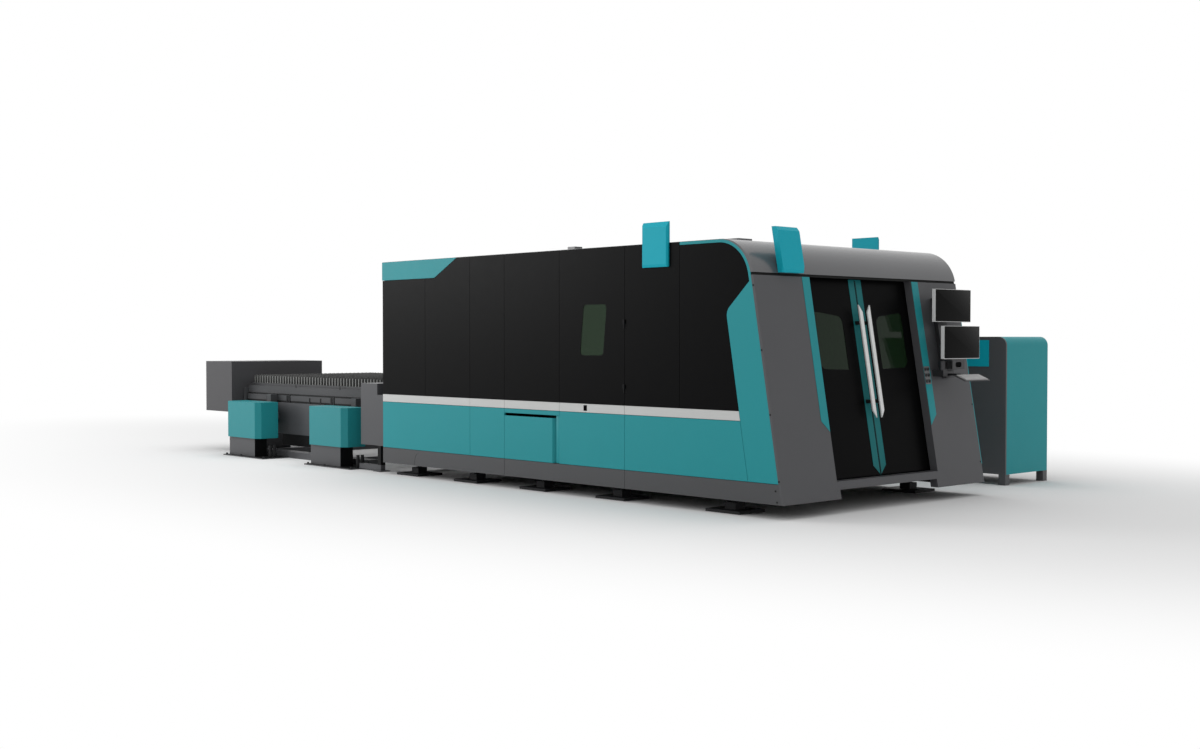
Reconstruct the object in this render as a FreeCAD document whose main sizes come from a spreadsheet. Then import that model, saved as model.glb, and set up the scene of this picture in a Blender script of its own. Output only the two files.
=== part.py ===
"""Fiber laser cutting machine: enclosed cutter, exchange table and laser source cabinet.

Millimetres. While it is drawn, x is 0 at the foot of the door end and falls towards the
exchange table, y is 0 on the long near side, and z is 0 on the floor. Each sub-part is then
placed so that the origin lies under the middle of the whole set.
"""
import FreeCAD, Part
import Sketcher
import os
import re

doc = FreeCAD.newDocument("laser_cutting_machine")

# ---------------------------------------------------------------- driving sizes
SIZES = {
    # enclosure
    "body_length": 5836,
    "body_width": 3000,
    "body_top": 2371,
    "base_bottom": 125,
    "base_top": 298,
    "stripe_bottom": 810,
    "stripe_top": 895,
    "front_lean": 10,
    "roof_radius": 370,
    "skin_depth": 25,
    "gauge": 3,
    "seam": 4,
    "fit_gap": 0.3,
    "frame_tube": 60,
    # seams of the long side, measured from the door end
    "seam_front": 1200,
    "door_front": 1905,
    "door_rear": 2823,
    "drawer_rear": 3670,
    "seam_rear": 4240,
    "seam_last": 5030,
    # teal cheek, its arched trim and the rear corner band
    "cheek_width": 358,
    "cheek_elbow": 1748,
    "cheek_tip": 1998,
    "elbow_radius": 100,
    "rim": 25,
    "trim_width": 26,
    "band_bottom": 2165,
    "band_low_inset": 165,
    "band_high_inset": 227,
    "band_overhang": 10,
    # low caps on the roof
    "cap_rear": 2766,
    "cap_rear_length": 100,
    "cap_rear_near": 60,
    "cap_front": 985,
    "cap_front_length": 160,
    "cap_front_near": 360,
    "cap_rear_width": 100,
    "cap_front_width": 180,
    "cap_height": 30,
    # door end
    "hood_bottom": 2075,
    "pillar_top": 2052,
    "pillar_width": 745,
    "pillar_depth": 80,
    "pillar_foot": 776,
    "sill_bottom": 205,
    "sill_top": 275,
    "strip_outer": 640,
    "strip_low": 800,
    "strip_point": 95,
    "strip_proud": 3,
    "door_setback": 92,
    "door_leaf": 40,
    "door_lap": 35,
    "door_edge": 90,
    "edge_point": 85,
    "meeting_gap": 6,
    "handle_width": 45,
    "handle_off": 37,
    "handle_low": 800,
    "handle_high": 1820,
    "handle_slant": 66,
    "handle_thick": 14,
    "handle_gap": 64,
    "window_inner": 250,
    "window_margin": 140,
    "window_high": 1712,
    "window_low": 1233,
    "window_rise": 45,
    "window_drop": 10,
    "window_radius": 40,
    "window_arc": 75,
    "window_corner": 12,
    "glass": 8,
    "glass_lap": 15,
    "door_bottom": 285,
    "door_top": 2105,
    "handle_post": 30,
    "handle_post_low": 930,
    "handle_post_high": 1640,
    # push buttons on the far pillar
    "button_radius": 14,
    "button_proud": 10,
    "button_inset": 724,
    "button_across": 42,
    "button_row": 56,
    "button_low": 1112,
    # service door in the long side
    "side_window_front": 2198,
    "side_window_rear": 2521,
    "side_window_low": 1355,
    "side_window_high": 1836,
    "side_window_lean": 50,
    "pull_front": 2422,
    "pull_rear": 2472,
    "pull_low": 826,
    "pull_high": 881,
    "hinge_radius": 7,
    "hinge_pin": 3,
    "hinge_length": 80,
    "hinge_leaf": 26,
    "hinge_gauge": 2,
    "hinge_low": 1010,
    "hinge_step": 600,
    "pin_clearance": 0.05,
    "leaf_frame": 30,
    # scrap drawer under the cutting bed
    "drawer_slot_low": 738,
    "drawer_slot_high": 766,
    "drawer_depth": 1300,
    "drawer_tray_low": 312,
    "drawer_tray_high": 398,
    "drawer_tray_near": 60,
    "drawer_tray_rear": 3640,
    "drawer_tray_front": 2890,
    "drawer_fold": 2926,
    "drawer_fold_end": 2886,
    "drawer_fold_depth": 47,
    "runner_width": 70,
    "runner_height": 20,
    # levelling feet: their places from the door end
    "foot_inset": 396,
    "foot_rear": 4390,
    "foot_middle": 3290,
    "foot_front": 2160,
    "foot_door_end": 730,
    "foot_length": 400,
    "foot_near": 50,
    "foot_far": 380,
    "foot_thick": 25,
    "foot_block": 120,
    "foot_block_high": 85,
    "foot_screw": 24,
    # machine bed and rails
    "bed_tube": 160,
    "rail_beam_inner": 400,
    "rail_beam_outer": 150,
    "rail_beam_low": 760,
    "rail_beam_high": 1000,
    "rail_front": 700,
    "rail_end": 1450,
    "inner_rail_near": 640,
    "inner_rail_width": 50,
    "rail_height": 30,
    "rail_width": 34,
    # gantry
    "gantry_inset": 486,
    "beam_depth": 260,
    "beam_low": 1105,
    "beam_high": 1405,
    "carriage_length": 170,
    "carriage_park": 760,
    "carriage_width": 240,
    "beam_near": 150,
    "beam_wall": 12,
    "beam_rail_depth": 20,
    "beam_rail_height": 30,
    "beam_rail_margin": 45,
    "beam_rail_end": 50,
    "shoe_near": 200,
    "shoe_far": 310,
    "rail_centre": 255,
    "rack_near": 330,
    "rack_width": 25,
    "carriage_depth": 70,
    "carriage_low": 1120,
    "carriage_high": 1480,
    "slide_depth": 30,
    "slide_width": 120,
    "slide_low": 1290,
    "slide_high": 1640,
    "head_low": 1160,
    "head_high": 1560,
    "nozzle_radius": 6,
    "nozzle_root": 30,
    "head_radius": 42,
    "nozzle_tip": 1060,
    # pallets: the level of the outer pallet's rails and the drop to the inner pallet's
    "deck_level": 795,
    "deck_drop": 325,
    "pallet_length": 3430,
    "pallet_reach": 3954,
    "pallet_travel": 4690,
    "pallet_side": 520,
    "pallet_rail_width": 120,
    "pallet_beam_clear": 5,
    "pallet_ledge": 895,
    "pallet_step": 40,
    "pallet_end": 60,
    "slat_margin": 90,
    "slat_side": 562,
    "slat_teeth": 8,
    "slat_count": 50,
    "bridge_width": 80,
    "bridge_low": 900,
    "bearing_near": 700,
    "bearing_width": 40,
    "bearing_low": 820,
    "slat_bottom": 930,
    "slat_top": 1038,
    "slat_gauge": 4,
    "slat_pitch": 66,
    "tooth_height": 24,
    "wheel_radius": 50,
    "wheel_width": 40,
    "axle_radius": 15,
    "axle_inset": 500,
    # exchange table
    "column_gap": 216,
    "column_step": 2000,
    "column_length": 810,
    "column_depth": 300,
    "column_chamfer": 60,
    "cover_low": 245,
    "cover_high": 706,
    "plate_reach": 40,
    "plate_thick": 12,
    "side_panel_low": 288,
    "side_panel_high": 690,
    "side_panel_near": 470,
    "side_panel_thick": 20,
    "panel_rear_reach": 320,
    "panel_fore_reach": 200,
    "panel_sill_low": 140,
    "panel_sill_set": 12,
    "panel_sill_inset": 120,
    "panel_arm": 60,
    "panel_arm_low": 480,
    "panel_arm_high": 560,
    "floor_beam_high": 80,
    "link_lap": 25,
    "link_high": 60,
    "guide_width": 60,
    "guide_thick": 20,
    "plate_run": 200,
    "pedestal_inset": 35,
    "pedestal_fore_inset": 125,
    "pedestal_far_inset": 90,
    "bolt_radius": 12,
    "bolt_height": 18,
    "bolt_inset": 35,
    "stud_height": 150,
    "stud_inset": 50,
    "stud_near": 100,
    "stud_far": 160,
    "stud_head": 19,
    "stud_head_high": 16,
    "lift_side": 500,
    "lift_beam": 190,
    "lift_strut": 100,
    "lift_gap": 16,
    "lift_tie": 80,
    "shoe_low": 600,
    "shoe_high": 700,
    "deck_depth": 75,
    "skirt_thick": 15,
    "skirt_low": 660,
    "stop_reach": 55,
    "stop_tip": 20,
    "stop_near": 470,
    "stop_far": 560,
    "stop_high": 865,
    "lift_tube": 60,
    # grey boxes beside the rear opening
    "pass_length": 598,
    "pass_side": 100,
    "pass_inner": 495,
    "pass_low": 295,
    "pass_high": 1003,
    "pass_notch": 264,
    "pass_notch_low": 875,
    "pass_leg_inset": 254,
    "pass_leg": 60,
    "pass_foot": 140,
    "opening_half": 1000,
    "opening_low": 395,
    "opening_high": 1085,
    # end cabinet behind the table
    "end_gap": 62,
    "end_length": 717,
    "end_near": 300,
    "end_far": 1700,
    "end_low": 535,
    "end_high": 1212,
    "pedestal_rear_inset": 119,
    "pedestal_front_inset": 98,
    "pedestal_near": 750,
    "pedestal_far": 1250,
    "cable_entry": 60,
    # free-standing cabinet
    "source_front": 340,
    "source_rear": 1540,
    "source_gap": 925,
    "source_width": 815,
    "source_low": 112,
    "source_high": 1535,
    "source_radius": 92,
    "source_leg": 80,
    "source_face": 20,
    "source_sign_end": 540,
    "source_sign_width": 500,
    "source_sign_low": 1225,
    "source_sign_height": 275,
    "sign_plate": 4,
    # blank sign boxes on the roof edge
    "sign_rear": 1655,
    "sign_front": 1330,
    "sign_far_shift": 60,
    "sign_low": 2155,
    "sign_high": 2560,
    "sign_proud": 30,
    "sign_hook": 8,
    "sign_bevel": 12,
    "sign_slope": 48,
    "sign_slope_deep": 26,
    "sign_toe": 24,
    "sign_toe_deep": 8,
    "sign_end_near": 330,
    "sign_end_far": 620,
    "sign_end_low": 2080,
    "sign_end_high": 2480,
    "sign_end_depth": 64,
    "sign_foot_inset": 50,
    "sign_end_slope": 34,
    "sign_end_slope_deep": 22,
    "sign_end_lean": 10.6,
    "sign_foot_high": 2160,
    # control console on the far pillar
    "screen_width": 590,
    "screen_height": 310,
    "screen_depth": 36,
    "screen_inset": 395,
    "screen_pin_back": 29,
    "upper_screen": 1827,
    "lower_screen": 1478,
    "upper_face": 100,
    "lower_face": 0,
    "knuckle_half": 24,
    "ear_thick": 10,
    "ear_half": 18,
    "arm_half": 12,
    "arm_reach": 8,
    "screen_pin": 6,
    "swivel_x": 100,
    "swivel_inset": 570,
    "swivel_radius": 35,
    "swivel_pin": 12,
    "swivel_low": 1215,
    "swivel_high": 1300,
    "post_inset": 470,
    "post_width": 150,
    "post_low": 1140,
    "post_high": 1900,
    "post_clear": 9,
    "post_thick": 40,
    "yoke_face": 105,
    "yoke_thick": 20,
    "plate_face": 5,
    "plate_thin": 10,
    "plate_inset": 25,
    "plate_rise": 10,
    "plate_web": 12,
    "plate_hole": 50,
    "tray_hinge": 20,
    "tray_back": 1172,
    "tray_inset": 580,
    "tray_width": 415,
    "tray_length": 150,
    "tray_thick": 6,
    "tray_tilt": 22,
    "tray_start": 16,
    "tray_knuckle": 9,
    "tray_pin": 4,
    "tray_arm_inset": 430,
    "tray_arm_width": 70,
    "tray_ear": 24,
    "keys_margin": 30,
    "keys_width": 365,
    "keys_back": 22,
    "keys_front": 138,
    "keys_thick": 8,
}

# Places that follow from the sizes above, as formulas of the same sheet.
PLACES = {
    "band_low_end": "seam_last - band_low_inset",
    "band_high_end": "seam_rear + band_high_inset",
    "foot_rear_end": "body_length - foot_inset",
    "gantry_park": "body_length - gantry_inset",
    "pass_rear": "body_length + pass_length",
    "pass_notch_start": "body_length + pass_notch",
    "pass_leg_rear": "body_length + pass_leg_inset",
    "column_front": "pass_rear + column_gap",
    "column_middle": "column_front + column_step",
    "pallet_outer_end": "body_length + pallet_reach",
    "end_front": "pallet_outer_end + end_gap",
    "end_rear": "end_front + end_length",
    "pedestal_rear": "end_rear - pedestal_rear_inset",
    "pedestal_front": "end_front + pedestal_front_inset",
    "source_near": "body_width + source_gap",
    "source_far": "source_near + source_width",
    "button_side": "body_width - button_inset",
    "screen_centre": "body_width - screen_inset",
    "swivel_y": "body_width - swivel_inset",
    "post_near": "body_width - post_inset",
    "post_far": "post_near + post_width",
    "tray_near": "body_width - tray_inset",
    "tray_far": "tray_near + tray_width",
    "tray_arm_near": "body_width - tray_arm_inset",
    "tray_arm_far": "tray_arm_near + tray_arm_width",
    "keys_near": "tray_near + keys_margin",
    "keys_far": "keys_near + keys_width",
}
NAMES = set(SIZES) | set(PLACES)

sheet = doc.addObject("Spreadsheet::Sheet", "sizes")
formulas = {alias: f"={formula}" for alias, formula in PLACES.items()}
for row, (alias, value) in enumerate((SIZES | formulas).items(), start=1):
    sheet.set(f"A{row}", alias)
    sheet.set(f"B{row}", str(value))
    sheet.setAlias(f"B{row}", alias)
doc.recompute()


# ---------------------------------------------------------------- drawing helpers
def cells(text):
    """Turn size names in an expression into references to the sheet's cells."""
    return re.sub(r"[a-z_]+[a-z_0-9]*", lambda word: cell(word.group()), str(text))


def cell(word):
    """The sheet's cell of a size, or the word itself where it is a function's name."""
    return f"sizes.{word}" if word in NAMES else word


def value_of(text):
    """The number that an expression of sizes gives now."""
    return float(sheet.evalExpression(cells(text)))


def origin_plane(body, role):
    """The body's own origin plane of the given role."""
    return next(item for item in body.Origin.OriginFeatures if item.Role == role)


def outline(body, plane, points, offset):
    """A closed sketch on one of the body's planes, through points given as expressions."""
    sketch = body.newObject("Sketcher::SketchObject", body.Name + "_outline")
    sketch.AttachmentSupport = [(origin_plane(body, plane), "")]
    sketch.MapMode = "FlatFace"
    sketch.setExpression("AttachmentOffset.Base.z", cells(offset))
    spots = [FreeCAD.Vector(value_of(u), value_of(v), 0) for u, v in points]
    count = len(spots)
    sketch.addGeometry([Part.LineSegment(spots[i], spots[(i + 1) % count]) for i in range(count)], False)
    rules = [Sketcher.Constraint("Coincident", i, 2, (i + 1) % count, 1) for i in range(count)]
    for i, spot in enumerate(spots):
        rules.append(Sketcher.Constraint("DistanceX", -1, 1, i, 1, spot.x))
        rules.append(Sketcher.Constraint("DistanceY", -1, 1, i, 1, spot.y))
    sketch.addConstraint(rules)
    for i, (u, v) in enumerate(points):
        sketch.setExpression(f"Constraints[{count + 2 * i}]", cells(u))
        sketch.setExpression(f"Constraints[{count + 2 * i + 1}]", cells(v))
    return sketch


def on_plane(plane, point):
    """The two sketch coordinates of a point of the model on one of the origin planes."""
    if plane == "XZ_Plane":
        return point.x, point.z
    if plane == "YZ_Plane":
        return point.y, point.z
    return point.x, point.y


def corner_edges(feature, plane, spots):
    """Names of the feature's edges that stand square to the plane at the given spots."""
    found = []
    for number, edge in enumerate(feature.Shape.Edges, start=1):
        ends = [on_plane(plane, vertex.Point) for vertex in edge.Vertexes]
        for u, v in spots:
            if len(ends) == 2 and all(abs(a - u) < 0.01 and abs(b - v) < 0.01 for a, b in ends):
                found.append(f"Edge{number}")
    return found


def round_corners(body, plane, points, rounds):
    """Fillet the corners of an outline: rounds maps a radius to the corners' numbers."""
    for radius, numbers in rounds.items():
        base = body.Tip
        spots = [(value_of(points[i][0]), value_of(points[i][1])) for i in numbers]
        fillet = body.newObject("PartDesign::Fillet", body.Name + "_round")
        fillet.Base = (base, corner_edges(base, plane, spots))
        fillet.setExpression("Radius", cells(radius))
        doc.recompute()


def prism(name, plane, points, low, high, rounds=None, open_to=None):
    """A body padded square to a plane from low to high, hollowed where open_to names a side."""
    body = doc.addObject("PartDesign::Body", name)
    offset = f"-({high})" if plane == "XZ_Plane" else low
    sketch = outline(body, plane, points, offset)
    pad = body.newObject("PartDesign::Pad", name + "_pad")
    pad.Profile = sketch
    pad.setExpression("Length", cells(f"({high}) - ({low})"))
    doc.recompute()
    round_corners(body, plane, points, rounds or {})
    if open_to is not None:
        hollow(body, open_to)
    return body


def hollow(body, side):
    """Leave a body as folded sheet of the gauge, open on the face that looks to the given side."""
    base = body.Tip
    way = FreeCAD.Vector(*side)
    faces = base.Shape.Faces
    facing = [face.normalAt(0, 0).dot(way) if face.Surface.TypeId == "Part::GeomPlane" else -1
              for face in faces]
    wall = body.newObject("PartDesign::Thickness", body.Name + "_wall")
    wall.Base = (base, [f"Face{facing.index(max(facing)) + 1}"])
    wall.setExpression("Value", cells("gauge"))
    wall.Reversed = True
    doc.recompute()


def cut_through(name, piece, plane, points, span, rounds=None):
    """A piece with an outline cut right through it, checked by the material it takes away."""
    tool = prism(name + "_opening", plane, points, span[0], span[1], rounds)
    cut = less(name, piece, tool)
    doc.recompute()
    if not cut.Shape.Volume < piece.Shape.Volume:
        raise RuntimeError(f"{name}: the opening cuts nothing")
    return cut


def block(name, x, y, z):
    """A box between two expressions on each axis."""
    piece = doc.addObject("Part::Box", name)
    for size, axis, (low, high) in zip(("Length", "Width", "Height"), "xyz", (x, y, z)):
        piece.setExpression(size, cells(f"({high}) - ({low})"))
        piece.setExpression(f"Placement.Base.{axis}", cells(low))
    return piece


def rod(name, axis, place, radius, length, tilt="90"):
    """A cylinder from a place along x, y or z; along x it may be tilted up from level."""
    piece = doc.addObject("Part::Cylinder", name)
    piece.setExpression("Radius", cells(radius))
    piece.setExpression("Height", cells(length))
    for letter, value in zip("xyz", place):
        piece.setExpression(f"Placement.Base.{letter}", cells(value))
    if axis == "x":
        piece.Placement.Rotation = FreeCAD.Rotation(FreeCAD.Vector(0, 1, 0), 90)
        piece.setExpression("Placement.Rotation.Angle", cells(tilt))
    if axis == "y":
        piece.Placement.Rotation = FreeCAD.Rotation(FreeCAD.Vector(1, 0, 0), -90)
    return piece


def joined(name, pieces):
    """Welded pieces as one solid."""
    weld = doc.addObject("Part::MultiFuse", name)
    weld.Shapes = pieces
    return weld


def less(name, base, tool):
    """A piece with another cut out of it."""
    cut = doc.addObject("Part::Cut", name)
    cut.Base = base
    cut.Tool = tool
    return cut


def shared(name, first, second):
    """What two pieces have in common."""
    common = doc.addObject("Part::Common", name)
    common.Base = first
    common.Tool = second
    return common


def across(piece):
    """The same piece mirrored to the other long side."""
    copy = doc.addObject("Part::Mirroring", piece.Name + "_far")
    copy.Source = piece
    copy.Normal = FreeCAD.Vector(0, 1, 0)
    copy.setExpression("Base.y", cells("body_width / 2"))
    return copy


def moved(piece, x, y, z):
    """The same piece again, moved by expressions."""
    copy = doc.addObject("Part::Compound", piece.Name + "_moved")
    copy.Links = [piece]
    for letter, value in zip("xyz", (x, y, z)):
        copy.setExpression(f"Placement.Base.{letter}", cells(value))
    return copy


def both(pieces):
    """Pieces of the near side followed by their mirrored twins."""
    return pieces + [across(piece) for piece in pieces]


NODES = []
MID_X = "((end_rear - tray_hinge - tray_length * cos(tray_tilt) - tray_thick / 2 * sin(tray_tilt)) / 2)"
MID_Y = "((plate_reach - source_far) / 2)"


def node(name, pieces):
    """One sub-part of one or more solids, placed about the middle of the whole set."""
    group = doc.addObject("Part::Compound", name)
    group.Label = name
    group.Links = pieces
    group.setExpression("Placement.Base.x", cells(MID_X))
    group.setExpression("Placement.Base.y", cells(MID_Y))
    NODES.append(group)
    return group


# ---------------------------------------------------------------- shared lines and levels
MIDDLE = "(body_width / 2)"
SKIN_TOP = "(body_top - gauge - fit_gap)"
SKIN_SIDE = (0, 1, 0)
LOWER = ("(base_top + seam / 2)", "(stripe_bottom - seam / 2)")
STRIPE = ("(stripe_bottom + seam / 2)", "(stripe_top - seam / 2)")
UPPER = ("(stripe_top + seam / 2)", SKIN_TOP)


def front(level):
    """The leaning front's place at a level."""
    return f"(-({level} - base_bottom) * tan(front_lean))"


def behind(level, setback):
    """A place set back from the leaning front at a level."""
    return f"({front(level)} - ({setback}))"


def cheek_line(level, setback="0"):
    """The rear edge of the teal cheek at a level, moved back by a setback."""
    return behind(level, f"cheek_width + {setback}")


def ahead_of(seam_place):
    """The edge of a panel that starts in front of a seam."""
    return f"(-({seam_place} - seam / 2))"


def back_of(seam_place):
    """The edge of a panel that ends behind a seam."""
    return f"(-({seam_place} + seam / 2))"


def rectangle(u, v):
    """The four corners between two pairs of expressions."""
    return [(u[0], v[0]), (u[1], v[0]), (u[1], v[1]), (u[0], v[1])]


def leaning(name, setbacks, y, z):
    """A slab that leans with the front, between two setbacks."""
    outer, inner = setbacks
    points = [(behind(z[0], inner), z[0]), (behind(z[0], outer), z[0]),
              (behind(z[1], outer), z[1]), (behind(z[1], inner), z[1])]
    return prism(name, "XZ_Plane", points, y[0], y[1])


# ---------------------------------------------------------------- long sides
def skin(name, points, rounds=None, far=False):
    """A folded panel of a long side, open on its inner face."""
    if far:
        return prism(name, "XZ_Plane", points, "body_width - skin_depth", "body_width", rounds, (0, -1, 0))
    return prism(name, "XZ_Plane", points, "0", "skin_depth", rounds, SKIN_SIDE)


def cheek_points():
    """The teal cheek with the thin arch that runs on from it along the roof."""
    low = LOWER[0]
    trim_low = f"({SKIN_TOP} - trim_width)"
    return [
        (cheek_line(low), low),
        (behind(low, "rim"), low),
        (behind(SKIN_TOP, "rim"), SKIN_TOP),
        ("-seam_front", SKIN_TOP),
        ("-seam_front", trim_low),
        (behind(SKIN_TOP, "rim + trim_width"), trim_low),
        (behind("cheek_tip", "rim + trim_width"), "cheek_tip"),
        (cheek_line("cheek_elbow"), "cheek_elbow"),
    ]


def build_long_sides():
    """Panels of both long sides, row by row; returns the teal trims."""
    cheek_rounds = {"roof_radius": [2], "roof_radius - trim_width": [5], "elbow_radius": [7]}
    cheek = skin("cheek", cheek_points(), cheek_rounds)
    low = LOWER[0]
    trim_low = f"({SKIN_TOP} - trim_width - seam)"
    arched = [
        (ahead_of("seam_front"), UPPER[0]),
        (cheek_line(UPPER[0], "seam"), UPPER[0]),
        (cheek_line("cheek_elbow", "seam"), "cheek_elbow"),
        (behind("cheek_tip", "rim + trim_width + seam"), "cheek_tip"),
        (behind(SKIN_TOP, "rim + trim_width + seam"), trim_low),
        (ahead_of("seam_front"), trim_low),
    ]
    uppers = [
        skin("upper_arched", arched, {"elbow_radius": [2], "roof_radius - trim_width - seam": [4]}),
        skin("upper_front", rectangle((ahead_of("door_front"), back_of("seam_front")), UPPER)),
        skin("upper_drawer", rectangle((ahead_of("drawer_rear"), back_of("door_rear")), UPPER)),
        skin("upper_rear", rectangle((ahead_of("seam_rear"), back_of("drawer_rear")), UPPER)),
    ]
    under_band = "(band_bottom - seam / 2)"
    uppers.append(skin("upper_band", [
        (ahead_of("seam_last"), UPPER[0]),
        (back_of("seam_rear"), UPPER[0]),
        (back_of("seam_rear"), SKIN_TOP),
        ("-(band_high_end - seam)", SKIN_TOP),
        ("-(band_low_end - seam)", under_band),
        (ahead_of("seam_last"), under_band),
    ]))
    last = rectangle(("-body_length", back_of("seam_last")), (UPPER[0], under_band))
    uppers.append(skin("upper_last", last))
    band = skin("band", [
        ("-(body_length + band_overhang)", "(band_bottom + seam / 2)"),
        ("-band_low_end", "(band_bottom + seam / 2)"),
        ("-band_high_end", SKIN_TOP),
        ("-(body_length + band_overhang)", SKIN_TOP),
    ], {"elbow_radius": [1]})
    stripes = [
        skin("stripe_front", slanted_row("door_front", STRIPE)),
        skin("stripe_drawer", rectangle((ahead_of("drawer_rear"), back_of("door_rear")), STRIPE)),
        skin("stripe_rear", rectangle((ahead_of("seam_rear"), back_of("drawer_rear")), STRIPE)),
        skin("stripe_last", rectangle(("-body_length", back_of("seam_rear")), STRIPE)),
    ]
    lowers = [
        skin("lower_front", slanted_row("door_front", LOWER)),
        skin("lower_rear", rectangle((ahead_of("seam_rear"), back_of("drawer_rear")), LOWER)),
        skin("lower_last", rectangle(("-body_length", back_of("seam_rear")), LOWER)),
    ]
    door_row = (ahead_of("door_rear"), back_of("door_front"))
    drawer_row = (ahead_of("drawer_rear"), back_of("door_rear"))
    above_slot = skin("lower_over_drawer", rectangle(drawer_row, ("drawer_slot_high", LOWER[1])))
    node("side_upper_panels", both(uppers) + [skin("upper_far_door", rectangle(door_row, UPPER), far=True)])
    node("side_stripes", both(stripes) + [skin("stripe_far_door", rectangle(door_row, STRIPE), far=True)])
    node("side_lower_panels", both(lowers) + [
        above_slot,
        skin("lower_far_door", rectangle(door_row, LOWER), far=True),
        skin("lower_far_drawer", rectangle(drawer_row, LOWER), far=True),
    ])
    return both([cheek, band])


def slanted_row(seam_place, row):
    """A row of panel from a seam forward to the leaning cheek."""
    return [(ahead_of(seam_place), row[0]), (cheek_line(row[0], "seam"), row[0]),
            (cheek_line(row[1], "seam"), row[1]), (ahead_of(seam_place), row[1])]


def build_base():
    """Grey skirts round the foot of the enclosure and the welded bed behind them."""
    rows = [("-body_length", back_of("drawer_rear")), (ahead_of("drawer_rear"), back_of("door_front"))]
    level = ("base_bottom", "base_top - seam / 2")
    skirts = [block(f"skirt_{i}", row, ("0", "skin_depth"), level) for i, row in enumerate(rows)]
    skirts.append(prism("skirt_front", "XZ_Plane", [
        (ahead_of("door_front"), level[0]),
        (behind(level[0], "rim"), level[0]),
        (behind(level[1], "rim"), level[1]),
        (ahead_of("door_front"), level[1]),
    ], "0", "skin_depth"))
    rear = block("skirt_rear", ("-body_length", "-body_length + skin_depth"),
                 ("skin_depth", "body_width - skin_depth"), ("base_bottom", "base_top - seam / 2"))
    node("base_skirts", both(skirts) + [rear])

    deck = "(base_bottom + bed_tube)"
    inside = "(-body_length + skin_depth)"
    bed_y = ("skin_depth", "rail_beam_inner")
    front_end = behind("base_bottom", "door_setback + pillar_depth")
    runs = [block("bed_run", (inside, front_end), bed_y, ("base_bottom", deck))]
    stations = [inside, "(-(body_length + drawer_rear) / 2)", "(-(drawer_rear + frame_tube + bed_tube))",
                "(-(door_rear - frame_tube))", "(-(door_front - bed_tube))", "(-(rail_front + bed_tube))"]
    ties = [block(f"bed_tie_{i}", (low, f"{low} + bed_tube"),
                  ("rail_beam_inner", "body_width - rail_beam_inner"), ("base_bottom", deck))
            for i, low in enumerate(stations)]
    beam_y = ("rail_beam_outer", "rail_beam_inner")
    legs = [block(f"rail_leg_{i}", (low, f"{low} + bed_tube"), beam_y, (deck, "rail_beam_low"))
            for i, low in enumerate(stations)]
    beam = block("rail_beam", (inside, "-rail_front"), beam_y, ("rail_beam_low", "rail_beam_high"))
    rail_y = ("inner_rail_near", "inner_rail_near + inner_rail_width")
    low_rail = "(deck_level - deck_drop)"
    rail = block("pallet_rail", ("-pass_rear", "-rail_end"), rail_y, (f"{low_rail} - lift_tube", low_rail))
    props = [block(f"rail_prop_{i}", (low, f"{low} + bed_tube"), rail_y, (deck, f"{low_rail} - lift_tube"))
             for i, low in enumerate(stations[:-1])]
    toe = prism("toe_beam", "XZ_Plane", [
        (front_end, "sill_bottom"),
        (behind("sill_bottom", "pillar_depth"), "sill_bottom"),
        (behind("sill_top", "pillar_depth"), "sill_top"),
        (front_end, "sill_top"),
    ], "skin_depth", "body_width - skin_depth")
    node("base_frame", both(runs + legs + [beam, rail] + props) + ties + [toe])


def build_enclosure_frame():
    """Tubes that carry the skins, with the doors' track, the drawer's runners and fixed hinge halves."""
    y = ("skin_depth", "skin_depth + frame_tube")
    deck = "(base_bottom + bed_tube)"
    rail_low = "(body_top - gauge - frame_tube)"
    lows = ["(-body_length + skin_depth)", "(-(seam_rear + frame_tube))", "(-(drawer_rear + frame_tube))",
            "(-(door_rear + frame_tube))", "(-door_front)", "(-(seam_front + frame_tube))"]
    posts = [block(f"post_{i}", (low, f"{low} + frame_tube"), y, (deck, rail_low))
             for i, low in enumerate(lows)]
    rail_end = "(-(rail_front + frame_tube))"
    rail = block("roof_rail", (lows[0], rail_end), y, (rail_low, "body_top - gauge"))
    bar_y = ("skin_depth + frame_tube", "body_width - skin_depth - frame_tube")
    bars = [block(f"roof_bar_{i}", (low, f"{low} + frame_tube"), bar_y, (rail_low, "body_top - gauge"))
            for i, low in enumerate(lows)]
    far_y = ("body_width - skin_depth - frame_tube", "body_width - skin_depth")
    far_rail = block("far_rail", ("-door_rear", "-door_front"), far_y,
                     ("stripe_bottom - frame_tube / 2", "stripe_bottom + frame_tube / 2"))
    track_low = "(door_top + fit_gap)"
    track_high = f"({track_low} + lift_tube)"
    track = leaning("door_track", ("door_setback", "door_setback + door_leaf"),
                    ("skin_depth", "body_width - skin_depth"), (track_low, track_high))
    arm = prism("track_arm", "XZ_Plane", [
        (f"{rail_end} - frame_tube", f"{rail_low} - frame_tube"),
        (behind(track_low, "door_setback + door_leaf"), track_low),
        (behind(track_high, "door_setback + door_leaf"), track_high),
        (rail_end, rail_low),
        (f"{rail_end} - frame_tube", rail_low),
    ], y[0], y[1])
    runner_z = ("drawer_tray_low - fit_gap - runner_height", "drawer_tray_low - fit_gap")
    runner_y = (y[1], "drawer_depth")
    runners = [
        block("runner_rear", ("-drawer_rear", "-drawer_rear + runner_width"), runner_y, runner_z),
        block("runner_front", ("-drawer_tray_front - frame_tube", "-door_rear"), runner_y, runner_z),
    ]
    fixed = [hinge_half(f"hinge_fixed_{i}", low, "1") for i, low in enumerate(hinge_levels())]
    node("enclosure_frame", both(posts + [rail, arm]) + bars + runners + [far_rail, track] + fixed)


def hinge_levels():
    """Levels of the service door's two hinges."""
    return ["hinge_low", "(hinge_low + hinge_step)"]


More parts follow.
